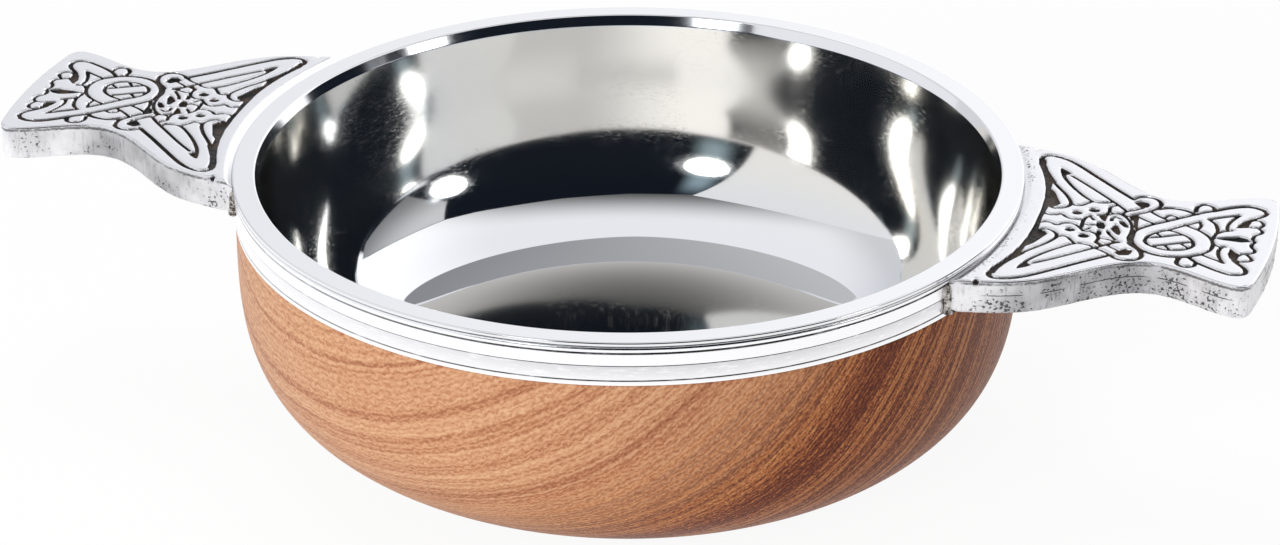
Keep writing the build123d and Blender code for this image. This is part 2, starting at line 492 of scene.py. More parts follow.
@dataclass(frozen=True)
class CastPewter(Finish):
    """Cast pewter: polished strands, blackened cuts and rough streaked sides.

    Depths are below the top edge, and reaches are from the bowl's axis. The sides carry painted shade at
    the waist, which darkens over its first span of reach and clears over its second.
    """

    title = "cast_pewter"
    bright: Colour = (0.80, 0.80, 0.83)
    pale_cast: Colour = (0.84, 0.84, 0.86)
    cast: Colour = (0.24, 0.24, 0.25)
    black: Colour = (0.012, 0.011, 0.011)
    brown: Colour = (0.050, 0.034, 0.024)
    crest_depth: float = 0.5
    parting_depth: float = 2.25
    pitted_from: Pair = (1.8, 3.8)
    waist_shade_from: Pair = (60.0, 67.0)
    waist_shade_to: Pair = (85.0, 77.0)
    seam_reach: float = 58.1

    def shade(self, graph: Graph) -> dict[str, Feed]:
        """Mixes the three surfaces by the patina and cast attributes.

        Args:
            graph: writes the nodes.

        Returns:
            The Principled shader's inputs.
        """
        place = graph.place()
        x, y, z = graph.split(place)
        reach, on_right = graph.length(x, y), graph.step(x, -5.0, 5.0)
        patina, side, depth = (graph.attribute(name) for name in ("patina", "cast", "depth"))
        cloud = graph.noise(place, 3.0, 3.0)
        grit = graph.noise(place, 0.32, 3.0, 0.6)
        patches = graph.noise(place, 5.0)
        holes = graph.noise(place, 0.42)
        drag = graph.noise(graph.joined(x, y, z * 0.18), 0.5, 3.0) - 0.5

        # the sides: pits, streaks, painted shade at the waist, and dark lines under the top edge and at the
        # parting
        sunk = (patches - 0.5) * 0.5 + graph.step(depth, *self.pitted_from) * 0.04
        pits = graph.step(holes + sunk + on_right * 0.055 - 0.035, 0.65, 0.72) * side
        crest = graph.near(depth + drag * 0.5, self.crest_depth, 0.36, 0.10)
        crest = crest * graph.step(cloud + grit * 0.5, 0.54, 0.76)
        parting = graph.near(depth + drag * 0.2, self.parting_depth, 0.12, 0.04)
        parting = parting * graph.step(patches, 0.44, 0.54) * on_right
        line = graph.maths("MAXIMUM", crest, parting) * side
        # painted shade and reflection: the sides are darker at the waist and lighter towards root and tip
        waist = graph.step(reach, *self.waist_shade_from) * graph.step(reach, *self.waist_shade_to)
        shade = graph.step(patches, 0.36, 0.64) * 0.3 + waist * 0.55 + graph.step(drag, 0.04, 0.2) * 0.25
        metal = graph.blend(side, self.bright, self.pale_cast)
        metal = graph.blend(shade * side, metal, self.cast)
        metal = graph.blend(graph.maths("MAXIMUM", pits, line) * 0.85, metal, self.black)

        # the top: brown specks along the seam with the band, and dark cuts
        specks = graph.near(reach, self.seam_reach, 0.8, 0.2) * (1.0 - side) * on_right
        specks = specks * graph.step(holes + (patches - 0.5) * 0.7, 0.58, 0.70) * 0.8
        metal = graph.blend(specks, metal, self.brown)
        stain = graph.blend(graph.step(cloud, 0.42, 0.62), self.black, self.brown)
        worn = graph.step(patina + (grit - 0.5) * 0.35, 0.3, 0.72)
        return {
            "Base Color": graph.blend(worn, metal, stain),
            "Metallic": 1.0 - worn * 0.75 - side * 0.4,
            "Roughness": 0.2 + side * 0.14 + grit * 0.1 + worn * 0.3,
            "Normal": graph.bump(grit * (side * 0.7 + 0.08) - pits * 0.8, 0.05),
        }


@dataclass(frozen=True)
class DullSolder(Finish):
    """Soft solder gone dull and brown, full of small pits."""

    title = "dull_solder"
    metal: Colour = (0.60, 0.57, 0.54)
    crust: Colour = (0.055, 0.040, 0.030)

    def shade(self, graph: Graph) -> dict[str, Feed]:
        """Breaks bare metal up with dark crust and pits.

        Args:
            graph: writes the nodes.

        Returns:
            The Principled shader's inputs.
        """
        place = graph.place()
        cloud = graph.noise(place, 1.1, 4.0, 0.6)
        grit = graph.noise(place, 0.25, 2.0)
        crust = graph.step(cloud + (grit - 0.5) * 0.6, 0.40, 0.58)
        return {
            "Base Color": graph.blend(crust, self.metal, self.crust),
            "Metallic": 1.0 - crust * 0.7,
            "Roughness": 0.38 + crust * 0.3,
            "Normal": graph.bump(cloud * 0.7 + grit * 0.3, 0.09),
        }


@dataclass(frozen=True)
class CuredAdhesive(Finish):
    """Clear adhesive, cured to a pale amber with small bubbles."""

    title = "cured_adhesive"
    clear: Colour = (0.60, 0.50, 0.30)
    clouded: Colour = (0.45, 0.35, 0.19)

    def shade(self, graph: Graph) -> dict[str, Feed]:
        """Clouds the adhesive with bubbles.

        Args:
            graph: writes the nodes.

        Returns:
            The Principled shader's inputs.
        """
        place = graph.place()
        cloud = graph.noise(place, 4.0, 3.0)
        bubbles = graph.step(graph.noise(place, 0.5, 1.0), 0.64, 0.72)
        return {
            "Base Color": graph.blend(cloud, self.clear, self.clouded),
            "Roughness": 0.25 + bubbles * 0.4,
            "Normal": graph.bump(bubbles, 0.05),
        }


# ------------------------------------------------------------ surfaces as arrays


def smooth(share: Array) -> Array:
    """Returns the smooth step of a share: clipped to 0..1, then three squares less two cubes."""
    held = np.clip(share, 0.0, 1.0)
    return held * held * (3.0 - 2.0 * held)


def waves(points: Array, size: float, seed: int, count: int = 24) -> Array:
    """Returns smooth random heights from about -1 to 1 at points in space.

    The height is a sum of sine waves with random directions, phases and lengths
    near size, over the root of half their number.

    Args:
        points: an array of shape (n, 3).
        size: the length of a wave in millimetres.
        seed: the seed of the random directions.
        count: how many waves are added.

    Returns:
        An array of n heights.
    """
    draw = np.random.default_rng(seed)
    ways = draw.normal(size=(3, count))
    ways /= np.linalg.norm(ways, axis=0)
    lengths = size * draw.uniform(0.6, 1.7, count)
    phases = draw.uniform(0.0, 2.0 * pi, count)
    return np.sin(points @ (ways * (2.0 * pi / lengths)) + phases).sum(axis=1) / sqrt(2.0 * count)


def rounded(corners: Points, radii: Union[float, Sequence[float]], steps: int = 4) -> Array:
    """Returns a path whose corners are rounded.

    Each corner becomes the quadratic curve between the points one radius before
    and after it, with the corner as its middle control point. The path's ends stay.

    Args:
        corners: the path's corners.
        radii: one radius, or one for each inner corner.
        steps: how many runs a curve has.

    Returns:
        The points of the rounded path.
    """
    path = np.array(corners, float)
    reach = np.broadcast_to(np.asarray(radii, float), (len(path) - 2,))[:, None]
    before, corner, after = path[:-2], path[1:-1], path[2:]
    back = corner + (before - corner) / np.linalg.norm(before - corner, axis=1)[:, None] * reach
    ahead = corner + (after - corner) / np.linalg.norm(after - corner, axis=1)[:, None] * reach
    share = np.linspace(0.0, 1.0, steps + 1)[None, :, None]
    curve = (1 - share) ** 2 * back[:, None] + 2 * share * (1 - share) * corner[:, None]
    curve = curve + share**2 * ahead[:, None]
    return np.concatenate([path[:1], curve.reshape(-1, 2), path[-1:]])


def curve_through(points: Points, steps: int = 7) -> Array:
    """Returns points on the smooth line through the given ones.

    Each span is a cubic whose end slopes are half the way between its neighbours.

    Args:
        points: the points to pass through.
        steps: how many runs a span has.

    Returns:
        The points of the line.
    """
    path = np.array(points, float)
    if len(path) < 3:
        return path
    path = np.concatenate([[2 * path[0] - path[1]], path, [2 * path[-1] - path[-2]]])
    a, b, c, d = (path[i : len(path) - 3 + i, None] for i in range(4))
    t = np.linspace(0.0, 1.0, steps, endpoint=False)[None, :, None]
    squares, cubes = (2 * a - 5 * b + 4 * c - d) * t**2, (3 * b - a - 3 * c + d) * t**3
    spans = 0.5 * (2 * b + (c - a) * t + squares + cubes)
    return np.concatenate([spans.reshape(-1, 2), path[-2:-1]])


def to_path(points: Array, path: Array) -> Array:
    """Returns each point's distance to the nearest straight run of a path.

    Args:
        points: an array of shape (n, 2).
        path: the path's points.

    Returns:
        An array of n distances.
    """
    start, run = path[:-1], np.diff(path, axis=0)
    arm = points[:, None] - start[None]
    share = np.clip((arm * run).sum(2) / np.maximum((run * run).sum(1), 1e-12), 0.0, 1.0)
    return np.linalg.norm(arm - share[..., None] * run, axis=2).min(axis=1)


def within(points: Array, ring: Array) -> Array:
    """Returns whether each point lies inside a closed outline, by counting the edges to its right.

    Args:
        points: an array of shape (n, 2).
        ring: the outline's points.

    Returns:
        An array of n truths.
    """
    start, end = ring, np.roll(ring, -1, axis=0)
    u, v = points[:, :1], points[:, 1:]
    spans = (start[:, 1] > v) != (end[:, 1] > v)
    rise = np.where(end[:, 1] == start[:, 1], 1e-9, end[:, 1] - start[:, 1])
    slope = (end[:, 0] - start[:, 0]) / rise
    return (spans & (u < start[:, 0] + slope * (v - start[:, 1]))).sum(axis=1) % 2 == 1


def close_to(points: Array, path: Array, margin: float) -> Array:
    """Returns the numbers of the points within a margin of the box round a path.

    Args:
        points: an array of shape (n, 2).
        path: the path's points.
        margin: how far from the box a point may lie.

    Returns:
        The numbers of those points.
    """
    inside = (points > path.min(0) - margin) & (points < path.max(0) + margin)
    return np.flatnonzero(inside.all(axis=1))


def grid_faces(rows: int, columns: int, ring_rows: bool = False, ring_columns: bool = False) -> Array:
    """Returns the quads of a grid of rows by columns of vertices, numbered row by row.

    Args:
        rows: how many rows of vertices there are.
        columns: how many vertices a row has.
        ring_rows: whether the last row joins the first.
        ring_columns: whether each row's last vertex joins its first.

    Returns:
        An array of vertex numbers, four to a face.
    """
    row = np.arange(rows if ring_rows else rows - 1)[:, None]
    column = np.arange(columns if ring_columns else columns - 1)[None]
    next_row, next_column = (row + 1) % rows, (column + 1) % columns
    corners = (row * columns + column, row * columns + next_column)
    corners += (next_row * columns + next_column, next_row * columns + column)
    return np.stack([np.broadcast_to(c, corners[0].shape) for c in corners], -1).reshape(-1, 4)


@dataclass
class Surface:
    """A mesh as arrays: points in millimetres, faces by vertex number, named point values."""

    points: Array
    faces: list
    values: dict[str, Array] = field(default_factory=dict)

    def piece(self, name: str, finish: Finish, slot: str, node: str) -> bpy.types.Object:
        """Makes the Blender object that stands for a CAD node.

        Args:
            name: the piece's name.
            finish: what it is dressed in.
            slot: not used.
            node: the CAD node that it replaces.

        Returns:
            The object, riding on the root body.
        """
        mesh = bpy.data.meshes.new(name)
        mesh.from_pydata((self.points * MM).tolist(), [], self.faces)
        mesh.validate()
        mesh.polygons.foreach_set("use_smooth", np.ones(len(mesh.polygons), bool))
        for title, numbers in self.values.items():
            attribute = mesh.attributes.new(title, "FLOAT", "POINT")
            attribute.data.foreach_set("value", numbers.astype(np.float32))
        mesh.materials.append(finish.material())
        made = added(name, mesh)
        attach(made, "root")
        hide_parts(node)
        triangles = int(sum(len(f) - 2 for f in self.faces))
        log.info("%s: %d triangles, stands for %s", name, triangles, node)
        return made


def revolved(profile: Array, segments: int, values: Optional[dict[str, Array]] = None) -> Surface:
    """Turns a closed profile of (radius, height) points about the Z axis.

    A point (r, z) goes to (r cos a, r sin a, z) for equal steps of the angle a.
    The profile runs so that its outside is on its left, seen with r to the right
    and z up. A profile whose two ends lie on the axis has a pole at each of them.

    Args:
        profile: an array of shape (n, 2).
        segments: how many steps the turn has.
        values: named values of the profile points, for one without poles.

    Returns:
        The closed surface.
    """
    poles = profile[0, 0] < 1e-9 and profile[-1, 0] < 1e-9
    body = profile[1:-1] if poles else profile
    angle = np.linspace(0.0, 2.0 * pi, segments, endpoint=False)[:, None]
    parts = np.broadcast_arrays(body[:, 0] * np.cos(angle), body[:, 0] * np.sin(angle), body[:, 1])
    points = np.stack(parts, -1).reshape(-1, 3)
    faces = grid_faces(segments, len(body), ring_rows=True, ring_columns=not poles).tolist()
    spread = {name: np.tile(value, segments) for name, value in (values or {}).items()}
    if poles:
        ends = np.array([[0.0, 0.0, profile[0, 1]], [0.0, 0.0, profile[-1, 1]]])
        first, last = len(points), len(points) + 1
        near = np.arange(segments) * len(body)
        beyond, top = np.roll(near, -1), len(body) - 1
        faces += np.stack([np.full(segments, first), near, beyond], -1).tolist()
        faces += np.stack([np.full(segments, last), beyond + top, near + top], -1).tolist()
        points = np.concatenate([points, ends])
    return Surface(points, faces, spread)


def bowl_side(
    radius: float, depth: float, top: float, powers: Pair,
    lean: float = 0.0, end: float = pi / 2, count: int = 4001,
) -> Array:
    """Returns points down one side of a rounded bowl section, from its top to its end.

    The fall is the depth times the sine of an angle, raised to two over the floor's
    power. The reach is the radius, less lean times the fall, times the cosine,
    raised to two over the wall's power. The angle runs from 0 to the end.

    Args:
        radius: the reach at the top.
        depth: the whole fall.
        top: the height at the top.
        powers: the wall's power and the floor's.
        lean: how much the wall leans in as it falls.
        end: the last angle.
        count: how many points there are.

    Returns:
        The (radius, height) points.
    """
    angle = np.linspace(0.0, 1.0, count) * end
    fall = depth * np.sin(angle) ** (2.0 / powers[1])
    reach = (radius - lean * fall) * np.clip(np.cos(angle), 0.0, 1.0) ** (2.0 / powers[0])
    return np.stack([reach, top - fall], -1)


def evened(path: Array, count: int) -> Array:
    """Returns count points spaced evenly along a path.

    Args:
        path: the path's points.
        count: how many points are wanted.

    Returns:
        The evenly spaced points.
    """
    length = np.concatenate([[0.0], np.cumsum(np.linalg.norm(np.diff(path, axis=0), axis=1))])
    wanted = np.linspace(0.0, length[-1], count)
    return np.stack([np.interp(wanted, length, path[:, 0]), np.interp(wanted, length, path[:, 1])], -1)


def braced(path: Array, reach: float = 0.03) -> Array:
    """Returns the path with a point added near both ends of each long run, which keeps the runs flat.

    Args:
        path: the path's points.
        reach: how far from an end the point goes.

    Returns:
        The longer path.
    """
    start, run = path[:-1], np.diff(path, axis=0)
    length = np.linalg.norm(run, axis=1)
    step = run / np.maximum(length, 1e-9)[:, None] * reach
    trio = np.stack([start, start + step, start + run - step], 1).reshape(-1, 2)
    keep = np.stack([np.ones(len(run), bool), length > 4 * reach, length > 4 * reach], 1).ravel()
    return np.concatenate([trio[keep], path[-1:]])


# --------------------------------------------------------------- sub-assemblies


@dataclass(frozen=True)
class Rim:
    """The sizes that the parts round the rim share."""

    height: float = 42.0
    radius: float = 57.0
    lip_width: float = 3.2
    lip_underside: float = 41.45
    lip_edge: float = 0.15
    lip_round: float = 0.25
    bevel_depth: float = 1.45
    bevel_width: float = 0.7
    band_height: float = 6.05
    band_gauge: float = 1.0

    @property
    def opening(self) -> float:
        """Inside radius of the lip."""
        return self.radius - self.lip_width

    def bevel(self, skin: float) -> Array:
        """Returns the bevel, one skin outside its inner face, from the lip down to the crease.

        Args:
            skin: how far outside the inner face.

        Returns:
            Its two (radius, height) ends.
        """
        crease = self.height - self.bevel_depth
        top = self.height if skin == 0.0 else self.lip_underside
        across = self.bevel_width * (top - crease) / self.bevel_depth
        reach = self.opening - self.bevel_width + skin
        return np.array([[reach + across, top], [reach, crease]])

    @property
    def shoulder(self) -> float:
        """Height of the lip's outer edge, where the lugs meet it."""
        return self.lip_underside + self.lip_edge

    @property
    def band_bottom(self) -> float:
        """Height of the band's foot."""
        return self.lip_underside - self.band_height


@dataclass
class MetalLining:
    """The spun lining: a deep round bowl whose lip rolls out over the band."""

    rim: Rim
    floor_height: float = 6.35
    gauge: float = 0.7
    lean: float = 0.138
    powers: Pair = (3.75, 4.15)
    crown_from: float = 0.9
    tuck: float = 1.2
    segments: int = 420
    side_points: int = 130
    back_points: int = 44
    roll_points: int = 12

    def side(self, skin: float, count: int) -> Array:
        """Returns the section that lies one skin outside the inner face, from the crease to the axis.

        Args:
            skin: how far outside the inner face.
            count: how many points there are.

        Returns:
            The (radius, height) points.
        """
        radius, top = self.rim.bevel(skin)[1]
        path = bowl_side(radius, top - self.floor_height + skin, top, self.powers, self.lean)
        return evened(path, count)

    def profile(self) -> Array:
        """Joins the inner face, the bevel, the flat lip and the back into one section.

        The crown is flat and turns down over a small quarter circle to the lip's
        upright outer edge, whose underside is tucked in towards the band. The crease,
        the crest and that edge are rounded a little.

        Returns:
            The (radius, height) points, from the floor inside to the floor outside.
        """
        rim = self.rim
        front, back = self.side(0.0, self.side_points)[::-1], self.side(self.gauge, self.back_points)
        turn = np.linspace(0.0, pi / 2, self.roll_points)
        start, low = rim.radius - rim.lip_round, rim.height - rim.lip_round
        fall = np.stack([start + rim.lip_round * np.sin(turn), low + rim.lip_round * np.cos(turn)], -1)
        crest, crease = rim.bevel(0.0)
        inner = (rim.opening + self.crown_from, rim.height)
        bevel = rounded((front[-2], crease, crest, inner), (0.1, 0.22), 5)[1:-1]
        crown = np.array([inner, (start - 0.1, rim.height)])
        corner, tucked = ((reach, rim.lip_underside) for reach in (rim.radius, rim.radius - self.tuck))
        edge = rounded((fall[-2], fall[-1], corner, tucked), (0.03, 0.06), 3)[1:-1]
        lip = [front[-2:-1], bevel, crown, fall[:-1], edge, rim.bevel(self.gauge)[:1]]
        return np.concatenate([front[:-2], braced(np.concatenate(lip)), back])

    def build(self) -> bpy.types.Object:
        """Makes the lining."""
        surface = revolved(self.profile(), self.segments)
        return surface.piece("polished_lining", PolishedLining(), "polished_lining", "liner")


@dataclass
class ReededBand:
    """The rim band: a bead under the lip, two flat reeds and a foot strip, parted by scribed lines."""

    rim: Rim
    bead_groove: float = 0.2
    groove_depth: float = 0.5
    bead_height: float = 0.9
    upper_reed: float = 1.7
    lower_reed: float = 2.1
    reed_step: float = 0.08
    scribe_height: float = 0.12
    scribe_depth: float = 0.15
    foot_width: float = 0.35
    foot_round: float = 0.3
    corner_round: float = 0.05
    swell_share: float = 0.7
    crevice_reach: float = 0.1
    crevice_depth: Pair = (0.09, 0.12)
    segments: int = 760

    def build(self) -> bpy.types.Object:
        """Makes the band from its section, with every scribed line marked as a crevice.

        Returns:
            The object.
        """
        rim = self.rim
        outer, inner, bottom = rim.radius, rim.radius - rim.band_gauge, rim.band_bottom
        bead_top = rim.lip_underside - self.bead_groove
        bead_bottom = bead_top - self.bead_height
        turn = np.linspace(-pi / 2, pi / 2, 11)
        middle, half = (bead_top + bead_bottom) / 2, self.bead_height / 2
        swell = self.groove_depth * self.swell_share
        bead = [(outer - swell + swell * cos(a), middle - half * sin(a)) for a in turn]
        upper, lower = outer - self.reed_step, outer - 2 * self.reed_step
        line, levels = self.scribe_height, [bead_bottom]
        for drop in (line, self.upper_reed, line, self.lower_reed, line):
            levels.append(levels[-1] - drop)
        upper_top, upper_bottom, lower_top, lower_bottom, strip_top = levels[1:]
        deep, floor = self.scribe_depth, 0.01
        corners = [
            (inner, bottom), (inner, rim.lip_underside), (outer - self.groove_depth, rim.lip_underside),
            (outer - self.groove_depth, bead_top), *bead,
            (upper - deep, bead_bottom - 2 * floor), (upper - deep, upper_top + floor), (upper, upper_top),
            (upper, upper_bottom), (upper - deep, upper_bottom - floor), (upper - deep, lower_top + floor),
            (lower, lower_top), (lower, lower_bottom), (lower - deep, lower_bottom - floor),
            (lower - deep, strip_top + floor), (lower, strip_top), (lower, bottom),
            (lower - self.foot_width, bottom), (inner, bottom),
        ]
        radii = []
        for before, corner, after in zip(corners, corners[1:], corners[2:]):
            run = min(np.hypot(corner[0] - end[0], corner[1] - end[1]) for end in (before, after))
            radii.append(min(self.corner_round, 0.35 * run))
        radii[corners.index((lower, bottom)) - 1] = self.foot_round
        profile = braced(rounded(corners, radii, 3))[:-1]
        depth = outer - profile[:, 0]
        lines = [bead_top + 0.1, bead_bottom - 0.05, upper_bottom - 0.06, lower_bottom - 0.06]
        near = np.min([np.abs(profile[:, 1] - line) for line in lines], axis=0)
        least, slope = self.crevice_depth
        crevice = smooth(1.6 - near / self.crevice_reach) * smooth((depth - least) / slope)
        surface = revolved(profile, self.segments, {"crevice": crevice})
        return surface.piece("reeded_band", BrightBand(), "polished_band", "rim_band")


@dataclass
class WoodenBowl:
    """The turned wooden bowl: a round belly on a flat base, with a tenon inside the band."""

    rim: Rim
    lining: MetalLining
    bed: float = 0.2
    inset: float = 0.25
    straight: float = 2.2
    foot_radius: float = 24.1
    power: float = 3.3
    clearance: float = 0.05
    foot_round: float = 0.45
    ledge_rounds: Pair = (0.05, 0.25)
    segments: int = 360
    belly_points: int = 96

    def build(self) -> bpy.types.Object:
        """Makes the wooden bowl from its section.

        Returns:
            The object.
        """
        rim = self.rim
        radius, top = rim.radius - self.inset, rim.band_bottom - self.straight
        share = self.foot_radius / radius
        depth = top / (1 - share**self.power) ** (1 / self.power)
        end = acos(share ** (self.power / 2))
        belly = evened(bowl_side(radius, depth, top, (self.power, self.power), end=end), self.belly_points)
        tenon = rim.radius - rim.band_gauge - self.clearance
        skin = self.lining.gauge + self.bed
        inside = np.concatenate([rim.bevel(skin)[:1], self.lining.side(skin, self.lining.back_points)])
        foot = rounded((belly[-2], belly[-1], (self.foot_radius - 2.0, 0.0)), self.foot_round, 4)[1:-1]
        ledge = [(tenon, rim.lip_underside), (tenon, rim.band_bottom), (radius, rim.band_bottom), belly[0]]
        shoulder = rounded(ledge, self.ledge_rounds, 4)
        base = np.array([[self.foot_radius - 2.5, 0.0], [12.0, 0.0], [0.0, 0.0]])
        profile = np.concatenate([inside[::-1], shoulder, belly[1:-1], foot, base])
        surface = revolved(profile, self.segments)
        return surface.piece("turned_bowl", ElmWood(), "turned_wood", "wooden_bowl")


class Side(Enum):
    """Which way a lug points, as the sign of its X and Y."""

    RIGHT = 1.0
    LEFT = -1.0

    @property
    def word(self) -> str:
        """The side's name in the names of pieces."""
        return self.name.lower()

    def turned(self, points: Array) -> Array:
        """Returns points of the right side turned half round to this side."""
        return points * (self.value, self.value, 1.0)


